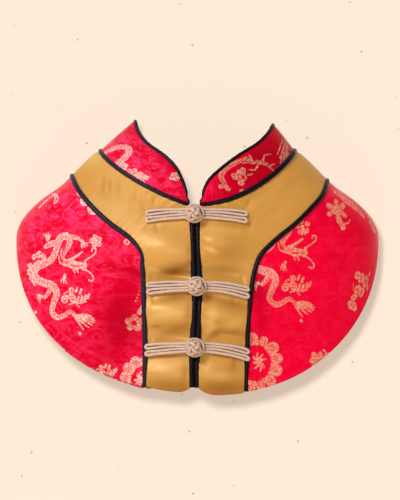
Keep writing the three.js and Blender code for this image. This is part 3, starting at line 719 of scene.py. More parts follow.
def cloud():
    gold = [spiral(-7, -1.2, 3.1, 1.4, 0.4, 1.15), spiral(-1.8, -0.6, 2.9, 1.3, 2.4, 1.15, -1),
            spiral(-2.6, 5.2, 2.3, 1.1, 4.2, 1.1)]
    for x, y, long in ((1.6, 5.6, 2.4), (4.4, 4.2, 2.6), (2.2, -0.8, 3.2), (4.8, -0.8, 3.4),
                       (7.4, 0, 3.2), (9.8, 1.2, 2.6)):
        gold.append(stroke([(x - 0.5, y - long / 2), (x + 0.6, y + long / 2)], 1.7, 1.5))
    gold += [stroke([(-4, -4.2), (0, -3.2), (4, -3.6), (8, -2.4)], 0.9, 0.8),
             stroke([(1, -4.4), (3, -6)], 0.9), stroke([(-7.5, 3), (-5, 4.4)], 0.9)]
    return gold, []


def blossom():
    petals, r = 5, 3.0
    gold, cut = [], []
    for k in range(petals):
        a = 2 * math.pi * k / petals + 0.5
        x, y = r * math.cos(a), r * math.sin(a)
        gold.append(dot(x, y, r * 1.12))
        cut.append(spiral(x * 1.05, y * 1.05, r * 0.24, 0.7, a, 0.4))
    gold.append(dot(0, 0, r * 0.8))
    cut.append(ring(0, 0, r * 0.5, r * 0.5, 0, 0.4))
    return gold, cut


def flower():
    """A peony head on a bent stem."""
    gold, cut = [], []
    for x, y, rx, ry, way in ((-3.4, 4.6, 2.6, 1.7, 150), (0.6, 5.4, 2.4, 1.7, 80),
                              (4, 3.6, 2.4, 1.7, 35), (-4, 1, 2.3, 1.5, 200),
                              (0.4, 1.6, 2.2, 1.8, 0), (4, -0.6, 2.2, 1.5, -40),
                              (0.2, -2.6, 2.4, 1.5, 90)):
        b = math.radians(way)
        gold.append(stroke([(x - rx * 0.6 * math.cos(b), y - rx * 0.6 * math.sin(b)),
                            (x + rx * 0.6 * math.cos(b), y + rx * 0.6 * math.sin(b))], ry * 2.1))
        cut.append(ring(x, y, rx * 0.6, ry * 0.55, way, 0.42, 0.7, 40))
    gold += [stroke([(0.4, -3), (1.6, -6), (3, -8)], 3.6, 2.6), dot(2.6, -8.4, 3.4),
             stroke([(3, -6.6), (6, -6), (8, -4.4)], 1.3, 0.9)]
    cut += [stroke([(0.8, -4.6), (2.2, -5.2)], 0.42), stroke([(1.4, -6.6), (2.8, -7)], 0.42)]
    return gold, cut


def spray():
    """Dots falling past a leaf, to a small flower."""
    gold = [dot(4.5 - 0.75 * k, 11 - 1.9 * k, 1.1) for k in range(5)]
    gold += [stroke([(9, 7), (6, 2), (3, -2.5)], 1.4, 1),
             stroke([(10, 4), (7, 0), (3.5, -3)], 4.2, 3.0)]
    cut = [ring(0.6, -9.2, 1.2, 1.2, 0, 0.5), stroke([(8, 1.4), (5, -1.6)], 0.42)]
    for x, y in ((-2.7, -8), (0.8, -6.2), (4.1, -8.2), (2.6, -11.8), (-1.7, -11.6)):
        gold.append(dot(x, y, 4.6))
        cut.append(ring(x, y, 1.4, 1.1, 30 * x, 0.45, 0.7))
    return gold, cut


def sprig():
    """A slanted run of curled buds with dots beside it."""
    gold = []
    for x, y, rx, ry, way in ((-1, 11, 2.0, 1.3, 70), (2.2, 9.2, 2.7, 1.4, 65),
                              (6.2, 6.8, 3.2, 1.7, 70), (-0.8, 1.8, 2.5, 1.4, 50),
                              (2.4, -0.4, 2.6, 1.5, 60), (-3.6, -3.6, 1.8, 1.2, 30),
                              (-6.2, -8.8, 2.3, 1.3, 110), (-3.6, -9.6, 2.6, 1.4, 115)):
        gold.append(ring(x, y, rx, ry, way, 1.7))
    gold += [dot(-4.2, 5.6 - 1.5 * k, 0.9) for k in range(4)]
    gold += [dot(5.4 - 0.9 * k, 0.8 - 1.5 * k, 0.95) for k in range(4)]
    gold += [stroke([(9.4, 11), (10, 12.6)], 1.3), stroke([(8.6, 4), (7.6, 1.4)], 1.4, 1)]
    return gold, []


def medallion():
    """A round wreath of plump cloud heads, with a little sprig in it."""
    r, heads = 15.8, 13
    gold, cut = [], []
    for k in range(heads):
        a = 2 * math.pi * k / heads
        x, y = r * math.cos(a), r * math.sin(a) * (1 + 0.05 * math.sin(3.1 * k))
        plump = 6.8 + 1.3 * math.sin(2.3 * k)
        gold.append(stroke([(x * 0.97, y * 0.97), (x * 1.04, y * 1.04)], plump))
        cut.append(spiral(x, y, 2.4, 1.25, a + 0.6, 0.55))
        b = a + math.pi / heads
        gold.append(stroke([(0.78 * r * math.cos(b), 0.78 * r * math.sin(b)),
                            (0.9 * r * math.cos(b), 0.9 * r * math.sin(b))], 1.4, 1.9))
    for way, size in ((92, 6.5), (58, 5.5), (128, 5.5), (265, 6), (300, 5), (225, 5), (15, 4.6),
                      (170, 4.6)):
        a = math.radians(way)
        gold.append(stroke([(4 + 0.8 * math.cos(a), 0.8 * math.sin(a)),
                            (4 + size * 0.6 * math.cos(a + 0.2), size * 0.6 * math.sin(a + 0.2)),
                            (4 + size * math.cos(a), size * math.sin(a))], 1.7, 1.0))
    return gold, cut


def ribbon():
    gold = [stroke([(-7.5, -5.5), (-3, -1), (1.5, 3)], 1.3, 1.0),
            stroke([(0, 3.4), (4.5, 3.2), (7.4, 0.6), (7, -2), (5, -2.2)], 1.3, 1.0),
            stroke([(2.5, 3.2), (5, 0.8), (5.4, -1.6)], 1.0, 0.8)]
    return gold, []


def coil():
    """A dragon's body that bends over and down."""
    return scaled([(-13, 0.5), (-9, 4.5), (-3, 8), (3.5, 8), (6, 3.5), (3, -2), (-1.5, -6.5)],
                  [3.2, 3.8, 4.2, 4.4, 4.4, 4.2, 3.4], 1.6)


def tail():
    """A curved double row of scales, from the top right round to the bottom."""
    gold, cut = scaled([(9, 11.5), (4, 8.5), (-1, 5), (-5, 0), (-6, -5.5), (-3, -10.5)],
                       [2.2, 2.8, 3.2, 3.4, 3.4, 3], 1.5)
    gold += [spiral(-5, -12.6, 1.8, 1.0, 0, 1.1), spiral(-0.6, -12.8, 1.8, 1.0, 2, 1.1)]
    return gold, cut


def bend():
    """A short reach of a dragon's body."""
    gold, cut = scaled([(-10, 8), (-3, 2.5), (4, -2), (10, -8)], [2.4, 4.4, 4.2, 2.4], 1.5)
    return gold + [stroke([(-6, 9), (2, 5), (9, 0)], 1.1, 0.8)], cut


def curl():
    """A cloud head of three nested curls."""
    return [spiral(0, 0, 3.4, 1.5, 0.4, 1.4), spiral(3, 2.4, 2.2, 1.1, 2.6, 1.3),
            spiral(-2.8, 2.8, 1.8, 1.0, 4.0, 1.3), spiral(-2.4, -2.6, 1.6, 1.0, 1.0, 1.3),
            stroke([(3, -1.6), (5, -2.6)], 1.3, 1)], []


def koi():
    """A small tailed cloud: a bent body with three fins."""
    gold, cut = scaled([(-4, 5), (-1, 2), (0.6, -2), (0, -6)], [1.6, 3.2, 2.6, 1.4], 1.2)
    gold += [stroke([(-1, 2), (-5, 1), (-7, 3)], 1.3, 0.8),
             stroke([(0, 1), (4, 1.6), (6.4, -0.6)], 1.4, 0.8),
             stroke([(0.4, -3), (3, -4.4)], 1.2, 0.8)]
    return gold, cut


DAMASK_TILE = (36.0, 31.0)


def damask_tile():
    """Tone-on-tone scrolls and leaf lines, one repeat."""
    strokes = [
        spiral(7, 7, 5, 1.3, 0.2, 1.1), spiral(24, 20, 6, 1.5, 2.2, 1.1, -1),
        spiral(29, 5, 3.6, 1.2, 4.0, 1.0), spiral(10, 24, 3.8, 1.2, 5.0, 1.0, -1),
        spiral(17, 9, 2.6, 1.1, 3.0, 0.9), spiral(33, 15, 2.4, 1.0, 1.0, 0.9),
        stroke([(7, 12), (12, 17), (18, 17), (22, 12)], 1.2, 0.9),
        stroke([(22, 27), (28, 30), (34, 27)], 1.2, 0.8),
        stroke([(12, 4), (17, 1.5), (22, 4), (25, 2)], 1.2, 0.8),
        stroke([(2, 17), (5, 20), (3, 26)], 1.3, 0.7),
    ]
    for k in range(7):
        strokes += [
            stroke([(12 + k * 1.3, 11.5 + k * 0.5), (16 + k * 1.1, 15 - k * 0.3)], 0.7, 0.5),
            stroke([(1 + k * 1.0, 28 + k * 0.3), (4 + k * 1.1, 31 - k * 0.2)], 0.7, 0.5)]
    return strokes


def set_down(figure, x, y, way=0.0, size=1.0, flip=False):
    """A figure, flipped, sized, turned and put in its place on the cloth."""
    a = math.radians(way)
    turn = np.array([[math.cos(a), math.sin(a)], [-math.sin(a), math.cos(a)]])
    scale = np.array([-size if flip else size, size])
    return tuple([((points * scale) @ turn + (x, y), widths) for points, widths in strokes]
                 for strokes in figure)


FAR = 9.0  # what a point is given that no stroke comes near


def distance(cloth, strokes):
    """How far each point of the cloth lies outside the nearest stroke's edge."""
    best = np.full(len(cloth), FAR, np.float32)
    if not strokes:
        return best
    a = np.vstack([p[:-1] for p, _ in strokes]).astype(np.float32)
    b = np.vstack([p[1:] for p, _ in strokes]).astype(np.float32)
    wa = np.concatenate([w[:-1] for _, w in strokes]).astype(np.float32) / 2
    wb = np.concatenate([w[1:] for _, w in strokes]).astype(np.float32) / 2
    way = b - a
    length2 = np.maximum((way ** 2).sum(1), 1e-9)
    order = np.argsort(cloth[:, 0])
    sorted_cloth = cloth[order].astype(np.float32)
    for k in range(len(a)):
        middle = (a[k] + b[k]) / 2
        reach = 5.0 + math.sqrt(length2[k]) / 2
        low, high = np.searchsorted(sorted_cloth[:, 0], (middle[0] - reach, middle[0] + reach))
        part = sorted_cloth[low:high]
        near = np.abs(part[:, 1] - middle[1]) < reach
        if not near.any():
            continue
        d = part[near] - a[k]
        t = np.clip((d @ way[k]) / length2[k], 0, 1)
        gap = np.linalg.norm(d - t[:, None] * way[k], axis=1) - (wa[k] + (wb[k] - wa[k]) * t)
        at = order[low:high][near]
        best[at] = np.minimum(best[at], gap)
    return best


def weave_figures(obj, cloth, figures):
    """Stores how far each vertex is from a gold figure and from a damask scroll."""
    gold = distance(cloth, [s for figure in figures for s in figure[0]])
    cut = distance(cloth, [s for figure in figures for s in figure[1]])
    store(obj, "gold_mm", np.maximum(gold, -cut))
    wide, high = DAMASK_TILE
    tile = damask_tile()
    around = [(points + (dx, dy), widths) for dx in (-wide, 0, wide) for dy in (-high, 0, high)
              for points, widths in tile]
    row = np.floor(cloth[:, 1] / high)
    local = np.stack([np.mod(cloth[:, 0] + row * 0.37 * wide, wide),
                      np.mod(cloth[:, 1], high)], -1)
    store(obj, "damask_mm", distance(local, around))


def arc(face, turn, z):
    """Length along the cloth, at one height, from the middle."""
    shares = np.linspace(0, 1, 40)
    turns = np.asarray(turn)[:, None] * shares
    rows = on_cape(face, turns, np.asarray(z)[:, None], creased=False)
    steps = np.linalg.norm(np.diff(rows, axis=1), axis=2).sum(1)
    return steps * np.sign(turn)


def on_cloth(face, x, z):
    """The cloth's own coordinates of a place seen from in front."""
    turn, height = seen(x, np.array(float(z)))
    return float(arc(face, np.array([turn]), np.array([height]))[0]), float(z)


# ---------------------------------------------------------------- materials

def linear(hex_colour):
    channels = [int(hex_colour[k:k + 2], 16) / 255 for k in (1, 3, 5)]
    return tuple(c / 12.92 if c <= 0.04045 else ((c + 0.055) / 1.055) ** 2.4
                 for c in channels) + (1.0,)


def node(tree, kind, inputs, **settings):
    """Adds a node. settings are its properties. inputs are its values or what is linked in,
    a socket or a node that shows one output, by name or number or in order as a list."""
    made = tree.nodes.new("ShaderNode" + kind)
    for key, value in settings.items():
        setattr(made, key, value)
    for key, value in inputs.items() if isinstance(inputs, dict) else enumerate(inputs):
        if isinstance(value, bpy.types.Node):
            value = next(output for output in value.outputs if output.enabled)
        if isinstance(value, bpy.types.NodeSocket):
            tree.links.new(value, made.inputs[key])
        else:
            made.inputs[key].default_value = value
    return made


def new_material(name):
    """An empty material, and the function that adds a node to it."""
    material = bpy.data.materials.new(name)
    material.use_nodes = True
    material.node_tree.nodes.clear()
    return material, functools.partial(node, material.node_tree)


def layered(add, ground, *layers):
    """A ground colour with others laid over it, each by its share."""
    colour = ground
    for share, over in layers:
        colour = add("Mix", {0: share, 6: linear(colour) if isinstance(colour, str) else colour,
                             7: linear(over) if isinstance(over, str) else over},
                     data_type="RGBA")
    return colour


def product(add, *parts):
    """The parts multiplied. A part that is a tuple is a value, the range in which it is read
    and the range that it then gives."""
    total = None
    for part in parts:
        if isinstance(part, tuple):
            part = add("MapRange", part)
        total = part if total is None else add("Math", [total, part], operation="MULTIPLY")
    return total


def grains(add, vector, across, along, detail=2.0):
    """Noise whose grains are across by along millimetres, on a map in tenths of a metre."""
    mapping = add("Mapping", {"Vector": vector, "Scale": (100 / across, 100 / along, 1)})
    return add("TexNoise", {"Vector": mapping, "Scale": 1.0, "Detail": detail}).outputs[0]


def stored(add, *names):
    """What the cloth's vertices hold under these names."""
    return [add("Attribute", {}, attribute_name=name).outputs["Fac"] for name in names]


def gold_satin():
    # Polyester satin: long floats lie one way, so light runs over it in soft broad streaks.
    # Light and shade are also painted into its colour from two attributes of the cloth: a pale
    # gold painted highlight on its pillows, and a brown painted shade in its dips, where its gloss
    # is lowered too. The yoke is pressed flat, so it gleams less.
    material, add = new_material("gold_satin_weave")
    coordinate = add("TexCoord", {}).outputs
    uv = coordinate["UV"]
    # painted highlight and painted shade, held by the cloth's vertices
    painted_highlight, deep = stored(add, "painted_highlight", "deep")
    threads = grains(add, uv, 9, 0.8)  # floats are 0.1 mm; drawn at 0.8 to show
    # the last two layers are painted light: a pale gold highlight and a brown shade
    colour = layered(add, "#C0863A", (grains(add, uv, 26, 14), "#CC9644"),
                     (product(add, (threads, 0.0, 1.0, 0.0, 0.14)), "#B07A2C"),
                     (painted_highlight, "#EABD74"), (deep, "#77430F"))
    bump = add("Bump", {"Strength": 0.08, "Distance": 0.0002, "Height": threads})
    height = add("SeparateXYZ", [coordinate["Object"]]).outputs["Z"]
    bend = (height, -0.045, -0.02)  # where the placket turns into the yoke
    shader = add("BsdfPrincipled", {
        "Base Color": colour, "Roughness": product(add, (*bend, 0.42, 0.5)), "IOR": 1.5,
        "Anisotropic": 0.2,
        "Specular IOR Level": product(add, (*bend, 0.8, 0.55), (deep, 0.0, 0.5, 1.0, 0.3)),
        "Specular Tint": linear("#FFE6B4"), "Sheen Weight": 0.15, "Sheen Roughness": 0.4,
        "Sheen Tint": linear("#FFE9BE"), "Normal": bump})
    add("OutputMaterial", [shader])
    return material


def red_brocade():
    # Jacquard brocade: a red satin ground with tone-on-tone scrolls, and flat gold thread woven
    # in as figures. Light and shade are painted into its colour from two attributes of the cloth:
    # the painted highlight gives pink sheen patches, crinkle flecks and glints, pinker scrolls and
    # paler thread; the painted shade gives a deeper red and browner thread, and dulls its gloss.
    material, add = new_material("red_gold_jacquard_brocade")
    uv = add("TexCoord", {}).outputs["UV"]
    # the figures, the scrolls, then painted highlight and painted shade, held by the vertices
    gold_mm, damask_mm, painted_highlight, deep = stored(add, "gold_mm", "damask_mm", "painted_highlight", "deep")
    # the damask scrolls, shown pinker where the painted highlight lies and fainter in painted shade
    scrolls = product(add, (damask_mm, 0.3, -0.2, 0.0, 1.0),
                      (grains(add, uv, 18, 13), 0.38, 0.62, 0.3, 1.0),
                      (painted_highlight, 0.05, 0.6, 0.06, 0.8), (deep, 0.2, 0.55, 1.0, 0.3))
    # painted light over the ground's mottle: pink patches, flecks and glints, and a deep red shade
    red = layered(
        add, "#F20034", (grains(add, uv, 22, 16), "#DC0028"),
        (product(add, (grains(add, uv, 8, 5.5, 3), 0.46, 0.58, 0.0, 0.8), painted_highlight), "#FF3A76"),
        (product(add, (grains(add, uv, 3.2, 3.6, 4), 0.5, 0.64, 0.0, 0.5), painted_highlight), "#BC0026"),
        (scrolls, "#FF3C74"),
        (product(add, (grains(add, uv, 3.6, 2.4, 4), 0.54, 0.66, 0.0, 0.5),
                 (deep, 0.2, 0.5, 1.0, 0.15), (painted_highlight, 0.05, 0.7, 0.0, 1.0)), "#FF5C8C"),
        (deep, "#8C000C"))
    dashes = grains(add, uv, 1.5, 0.6, 1)  # gold weft is 0.2 mm; drawn at 0.6 to show
    wobble = add("Math", [dashes, 0.5], operation="SUBTRACT")
    edge = add("Math", [wobble, 0.7, gold_mm], operation="MULTIPLY_ADD")
    cells = add("Mapping", {"Vector": uv, "Scale": (52, 60, 1)})
    ties = add("TexVoronoi", {"Vector": cells, "Scale": 1.0}, feature="DISTANCE_TO_EDGE")
    figure = product(add, (edge, 0.14, -0.1, 0.0, 1.0),  # floats tied every 2 mm show red
                     (ties.outputs["Distance"], 0.04, 0.17, 0.3, 1.0))
    spread = product(add, (dashes, 0.35, 0.65, 0.0, 1.0))
    # thread painted paler under the painted highlight and browner under the painted shade
    thread = layered(add, layered(add, "#C4744E", (spread, "#F0B494")),
                     (product(add, (painted_highlight, 0.0, 0.5, 0.0, 1.0)),
                      layered(add, "#E6AC9C", (spread, "#FFF2EA"))),
                     (product(add, deep, 0.45), "#8A4A30"))
    ground_threads = grains(add, uv, 0.9, 4.5)  # warp floats, drawn coarse to show
    relief = add("Math", [figure, 0.7, ground_threads], operation="MULTIPLY_ADD")
    relief = add("Math", [scrolls, 0.5, relief], operation="MULTIPLY_ADD")
    bump = add("Bump", {"Strength": 0.25, "Distance": 0.0002, "Height": relief})
    shader = add("BsdfPrincipled", {
        "Base Color": layered(add, red, (figure, thread)),
        "Roughness": product(add, (figure, 0.0, 1.0, 0.38, 0.34)), "IOR": 1.5,
        "Specular IOR Level": product(add, (deep, 0.0, 0.6, 0.4, 0.12)),
        "Specular Tint": linear("#FF4A80"), "Sheen Weight": 0.1, "Sheen Roughness": 0.35,
        "Sheen Tint": linear("#FF4078"), "Normal": bump})
    add("OutputMaterial", [shader])
    return material


def red_lining():
    # Thin polyester taffeta: a plain, slightly crisp red with hardly any pattern.
    material, add = new_material("red_taffeta_lining")
    weave = grains(add, add("TexCoord", {}).outputs["UV"], 0.9, 0.9)
    bump = add("Bump", {"Strength": 0.15, "Distance": 0.0001, "Height": weave})
    shader = add("BsdfPrincipled", {
        "Base Color": layered(add, "#A80E20", (weave, "#C01428")), "Roughness": 0.5,
        "Sheen Weight": 0.2, "Normal": bump})
    add("OutputMaterial", [shader])
    return material


def black_piping():
    # Satin bias strip drawn tight over a cotton cord: near black, with a cool soft gloss
    # along its lit side and fine slanting creases. Light is painted into its colour: the strips on
    # the left, towards the light, are painted lighter, and near the middle and on the right it is
    # painted darker.
    material, add = new_material("black_satin_bias_piping")
    coordinate = add("TexCoord", {}).outputs
    turned = add("Mapping", {"Vector": coordinate["UV"], "Rotation": (0, 0, math.radians(38))})
    creases = grains(add, turned, 1.2, 6, 3)
    across = add("SeparateXYZ", [coordinate["Object"]]).outputs["X"]
    # painted shade: darker from near the middle rightwards, lighter on the left towards the light
    dark = product(add, (across, -0.034, -0.008, 0.0, 1.0))
    colour = layered(add, layered(add, "#12101A", (dark, "#050407")),
                     (creases, layered(add, "#2E293A", (dark, "#100D14"))))
    bump = add("Bump", {"Strength": 0.4, "Distance": 0.0004, "Height": creases})
    shader = add("BsdfPrincipled", {
        "Base Color": colour, "Roughness": 0.4, "IOR": 1.42, "Specular IOR Level": 0.36,
        "Specular Tint": linear("#B8A6BC"), "Sheen Weight": 0.05, "Sheen Roughness": 0.45,
        "Sheen Tint": linear("#94829C"), "Normal": bump})
    add("OutputMaterial", [shader])
    return material


def frog_cord():
    # Rolled satin cord, hand stitched: beige with a pink cast, brighter along its crown, with a
    # slight slant where the strip is rolled. A brown painted shade darkens it between its strands
    # and in the knot, wherever the cord lies close to itself.
    material, add = new_material("beige_rolled_satin_cord")
    uv = add("TexCoord", {}).outputs["UV"]
    turned = add("Mapping", {"Vector": uv, "Rotation": (0, 0, math.radians(-32))})
    slants = grains(add, turned, 0.8, 5)
    # ambient occlusion, read for the brown painted shade between the strands
    hollow = add("AmbientOcclusion", {"Distance": 0.002}, samples=8).outputs["AO"]
    colour = layered(add, "#A98977", (slants, "#E9D1C0"),
                     (product(add, (grains(add, uv, 7, 5), 0.35, 0.65, 0.0, 0.6)), "#C9A799"),
                     (product(add, (hollow, 0.3, 0.95, 0.95, 0.0)), "#64463A"))
    bump = add("Bump", {"Strength": 0.5, "Distance": 0.0003, "Height": slants})
    shader = add("BsdfPrincipled", {
        "Base Color": colour, "Roughness": 0.32, "IOR": 1.5,
        "Specular Tint": linear("#FFE9CC"), "Sheen Weight": 0.2, "Sheen Roughness": 0.4,
        "Sheen Tint": linear("#FFE6D0"), "Normal": bump})
    add("OutputMaterial", [shader])
    return material


SATIN = gold_satin()
BROCADE = red_brocade()
LINING = red_lining()
PIPING = black_piping()
CORD = frog_cord()


# ---------------------------------------------------------------- the pieces


def root_piece(obj, slot, *nodes):
    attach(obj, "root")
    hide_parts(*nodes)


def sewn(obj, outer, slot, stands_for, rim=0):
    """Lines a sheet and gives it its thickness. rim is 1 where the lining shows at its edge."""
    use(obj, outer, LINING)
    thicken(obj, CLOTH, rim)
    root_piece(obj, slot, stands_for)


def wavering(along):
    """An uneven wave between -1 and 1, for puckers along a seam."""
    return (np.sin(along * 1.15) * 0.45 + np.sin(along * 0.53 + 1.3) * 0.35
            + np.sin(along * 2.1 + 2 * np.sin(along * 0.37)) * 0.35)


def cloth_piece(name, face, pattern, steps, uneven):
    """A sheet of cloth on the cape. pattern gives (turn, z) at shares (s, t), and uneven how
    far out the cloth stands there."""
    obj, s, t = added_grid(name, *steps)
    flat = pattern(s, t)
    turn = np.clip(flat[:, 0], -QUARTER, QUARTER)
    z = flat[:, 1]
    points = on_cape(face, turn, z, uneven(s, t, turn, z))
    place(obj, points)
    cloth = np.stack([arc(face, turn, z), z], -1)
    write_uv(obj, cloth / 100)
    # painted highlight and painted shade for the satin's colour
    store_painted_light(obj, points)
    face_out(obj)
    return obj, cloth


def hem_band(face, turn, z, deep=9.0, lift=0.4):
    """The hem is folded under twice, so its band stands a little proud."""
    above = z - hem_z(face, np.sin(turn) * half_width(z))
    return lift / (1 + np.exp((above - deep) * 2.2))


def brocade_uneven(side):
    def uneven(s, t, turn, z):
        along = (1 - t) * 95
        near_placket = np.exp(-s * 95 / 6)
        near_yoke = np.exp(-(1 - t) * 90 / 6)
        pucker = wavering(z * 1.3 + side) * near_placket + wavering(s * 90 * 1.2) * near_yoke
        ripple = wavering(s * 70 + along * 0.13) * np.exp(-t * 90 / 7) * 0.25
        swell = (SEAM_PUCKER * pucker + ripple) * off_sides(np.sin(turn))
        return swell + hem_band(FRONT, turn, z)
    return uneven


def gold_uneven(side):
    def uneven(s, t, turn, z):
        along = s * 230
        near_outer = np.exp(-(1 - t) * 35 / 5)
        near_inner = np.exp(-t * 35 / 4)
        lower = np.clip((z + 124) / 30, 0.4, 1)
        pucker = (wavering(along * 1.1 + side) * near_outer * lower
                  + 2.2 * wavering(along * 0.62) * near_inner)
        return (SEAM_PUCKER * pucker * off_sides(np.sin(turn))
                + hem_band(FRONT, turn, z, 7, 0.3))
    return uneven


# Light and shade painted on the satins, as seen from in front: painted highlight under the
# first key and painted shade under the second. Each is a ground value, then soft patches of
# x, z, way it runs in degrees, half length, half width and how much is added.
PAINTED_LIGHT = {
    # painted highlight: pink sheen on the brocade and collar's lit left, gleam on gold pillows
    "painted_highlight": {
        "brocade_front_left": (0.5, [
            (-95, -20, 40, 30, 14, 0.4), (-48, -82, 85, 26, 14, -0.55),
            (-60, -122, -20, 30, 12, -0.25), (-42, -52, 0, 16, 8, 0.3),
            (-112, -62, 90, 20, 8, 0.3),
        ]),
        "brocade_front_right": (0.08, [
            (44, -64, 0, 10, 8, 0.25), (56, -20, 40, 20, 7, 0.15),
        ]),
        "collar_band": (0.1, [
            (-54, 20, 30, 18, 14, 0.95), (-32, 6, -45, 22, 9, 0.6),
            (-14, -6, 90, 12, 6, 0.25), (-28, 10, -53, 13, 1.5, 0.6),
            (-22, 0, -40, 8, 1.2, 0.5), (-35, 17, -50, 8, 2, 0.4),
        ]),
        "gold_front_left": (0.04, [
            (-68, 14, 0, 9, 8, 0.35), (-24, -45, 0, 14, 8, 0.12),
            (-26.3, -60.5, -16, 6, 1.8, 0.5), (-20, -88.5, 4, 12, 5, 0.45),
            (-17, -124, 20, 9, 5, 0.22), (-46, -24, -40, 16, 8, 0.15),
        ]),
        "gold_front_right": (0.0, [
            (7.5, -39.5, -15, 2.6, 1.3, 0.7), (9.5, -47, -22, 4, 1.6, 0.7),
            (18, -33, -4, 14, 3, 0.25), (17, -60, -14, 12, 2.6, 0.3),
            (9, -93, 80, 10, 3.2, 0.5), (23, -96, 32, 7, 3.6, 0.3),
            (6.5, -122, 80, 6, 2.6, 0.4), (16, -131, 0, 7, 3, 0.35),
            (50, -6, 40, 20, 8, 0.12),
        ]),
    },
    # painted shade: the right collar turned from the light, darker brocade, brown dips by the frogs
    "deep": {
        "brocade_front_left": (0.2, [
            (-48, -84, 80, 24, 13, 0.26), (-50, -98, 70, 22, 14, 0.2),
            (-42, -61, -8, 15, 3, 0.3),
            (-70, -116, -40, 34, 16, 0.14), (-88, -8, -30, 30, 10, -0.12),
            (-76, -36, 4, 18, 2.5, 0.2), (-56, -95, -60, 20, 9, 0.12),
        ]),
        "brocade_front_right": (0.0, [
            (41, -74, 90, 14, 4, 0.5), (92, -22, -35, 24, 7, 0.2),
            (42, -98, 80, 10, 4, 0.3), (56, -76, 0, 14, 3, 0.2),
        ]),
        "collar_band": (0.5, [
            (-40, 6, -35, 40, 26, -0.36), (46, 14, 35, 26, 14, 0.3),
            (6, -4, 80, 12, 5, -0.42), (-17, 10, -50, 10, 4, 0.26),
            (-31.5, 8, -53, 12, 1.6, 0.2), (24, 12, 45, 14, 4, -0.2),
        ]),
        "gold_front_left": (0.0, [
            (-14, -60, 14, 13, 4.6, 0.72), (-18, -137, -4, 22, 6, 0.55),
            (-5.7, -48, 88, 9, 2.6, 0.3), (-13, -77.5, 6, 12, 3.4, 0.62),
            (-6, -88, 84, 9, 2.8, 0.35), (-27.5, -97, 6, 4.5, 1.4, 0.5),
            (-14, -99, 12, 11, 4.4, 0.5), (-26, -106.4, 0, 5, 1.4, 0.3),
            (-8.5, -127, 85, 8, 2.6, 0.3), (-56, -8, -42, 30, 12, 0.12),
            (-62, -4, 84, 6, 1.4, 0.22), (-57.5, -5, 88, 5, 1.2, 0.22),
            (-52, -6, 90, 6, 1.4, 0.16), (-18, -117, 0, 14, 2.4, 0.42),
            (-30, -34, 10, 10, 3, 0.2),
        ]),
        "gold_front_right": (0.0, [
            (21, -49, -6, 13, 7, 0.26), (18, -60, -8, 14, 4, 0.42),
            (24, -82.5, -16, 8, 3.6, 0.45), (9, -78, -20, 9, 3, 0.4),
            (11, -102, 36, 6, 2.0, 0.5), (26, -102, -6, 9, 4, 0.42),
            (25, -121, 62, 7, 3.4, 0.32), (17, -138.5, 0, 22, 7, 0.66),
            (16, -116, -4, 14, 2.4, 0.4), (36, -12, 30, 14, 3, 0.18),
            (24, -30.5, -6, 12, 2.4, 0.3),
        ]),
    },
}

# an even share of painted highlight and painted shade for pieces with no patches of their own
PLAIN_PAINTED_LIGHT = {"painted_highlight": 0.25, "deep": 0.1}  # of the pieces that have none of their own


def store_painted_light(obj, points):
    """Stores the painted highlight and painted shade at each vertex from its place as seen from in
    front.
    """
    for name, pieces in PAINTED_LIGHT.items():
        ground, patches = pieces.get(obj.name, (PLAIN_PAINTED_LIGHT[name], []))
        value = ground + folded(points[:, 0], points[:, 2], patches)
        store(obj, name, np.clip(value, 0, 1))


FIGURES = {  # figure, x and z as seen from in front, way it is turned, size, flipped
    LEFT: [("dragon", -92, -65, 0, 1.0, False), ("cloud", -81, -78.5, 0, 1.0, False),
           ("blossom", -67, -41, 0, 0.95, False), ("bud", -46.5, -41.5, 0, 1.0, False),
           ("spray", -42.2, -84.5, 0, 1.15, False), ("medallion", -35, -132.5, 172, 0.8, False),
           ("cloud", -61, -128, 8, 0.8, False), ("medallion", -62.6, -4.2, 0, 0.98, False),
           ("ribbon", -98, -13.5, 0, 1.0, False), ("dot", -77.5, -102, 0, 1.0, False),
           ("dot", -107, -88, 0, 1.0, False)],
    RIGHT: [("dragon", 53, -56.5, 0, 1.0, False), ("cloud", 65, -70.5, 0, 1.0, False),
            ("blossom", 69.5, -31.5, 0, 1.25, False), ("flower", 92.5, -23, 6, 1.12, False),
            ("sprig", 106.5, -74.5, 0, 1.0, False), ("medallion", 37, -121.5, 10, 1.0, False),
            ("flower", 80.5, -119.5, 100, 0.8, False), ("bend", 101, -16.5, 0, 1.0, False),
            ("dot", 68.5, -93.5, 0, 1.0, False), ("cloud", 116, -28, 70, 0.8, False)],
}
BACK_FIGURES = [("dragon", -62, -92, 0, 1.0, False), ("dragon", 58, -88, 0, 1.0, True),
                ("medallion", 0, -104, 0, 1.05, False), ("cloud", -25, -84, 0, 1.0, False),
                ("cloud", 27, -118, 0, 1.0, True), ("spray", -95, -60, 20, 1.0, False),
                ("sprig", 97, -60, -20, 1.0, False), ("blossom", -30, -124, 0, 1.2, False),
                ("blossom", 92, -95, 0, 1.2, False), ("blossom", -100, -92, 0, 1.0, False),
                ("flower", -72, -50, 0, 0.9, False), ("flower", 74, -46, 0, 0.9, True)]
DRAWN = {draw.__name__: draw() for draw in (dragon, cloud, blossom, spray, sprig, medallion,
                                            flower, ribbon, coil, bend, tail, curl, koi)}
DRAWN["claw"] = (claw(0, 0, 60, 4.4), [])
DRAWN["bud"] = ([ring(0, 0, 1.5, 1.5, 0, 1.2)], [])
DRAWN["dot"] = ([dot(0, 0, 2.2)], [])


def figures_for(face, rows):
    placed = []
    for kind, x, z, way, size, flip in rows:
        at_s, at_t = on_cloth(face, x, z)
        placed.append(set_down(DRAWN[kind], at_s, at_t, way, size, flip))
    return placed


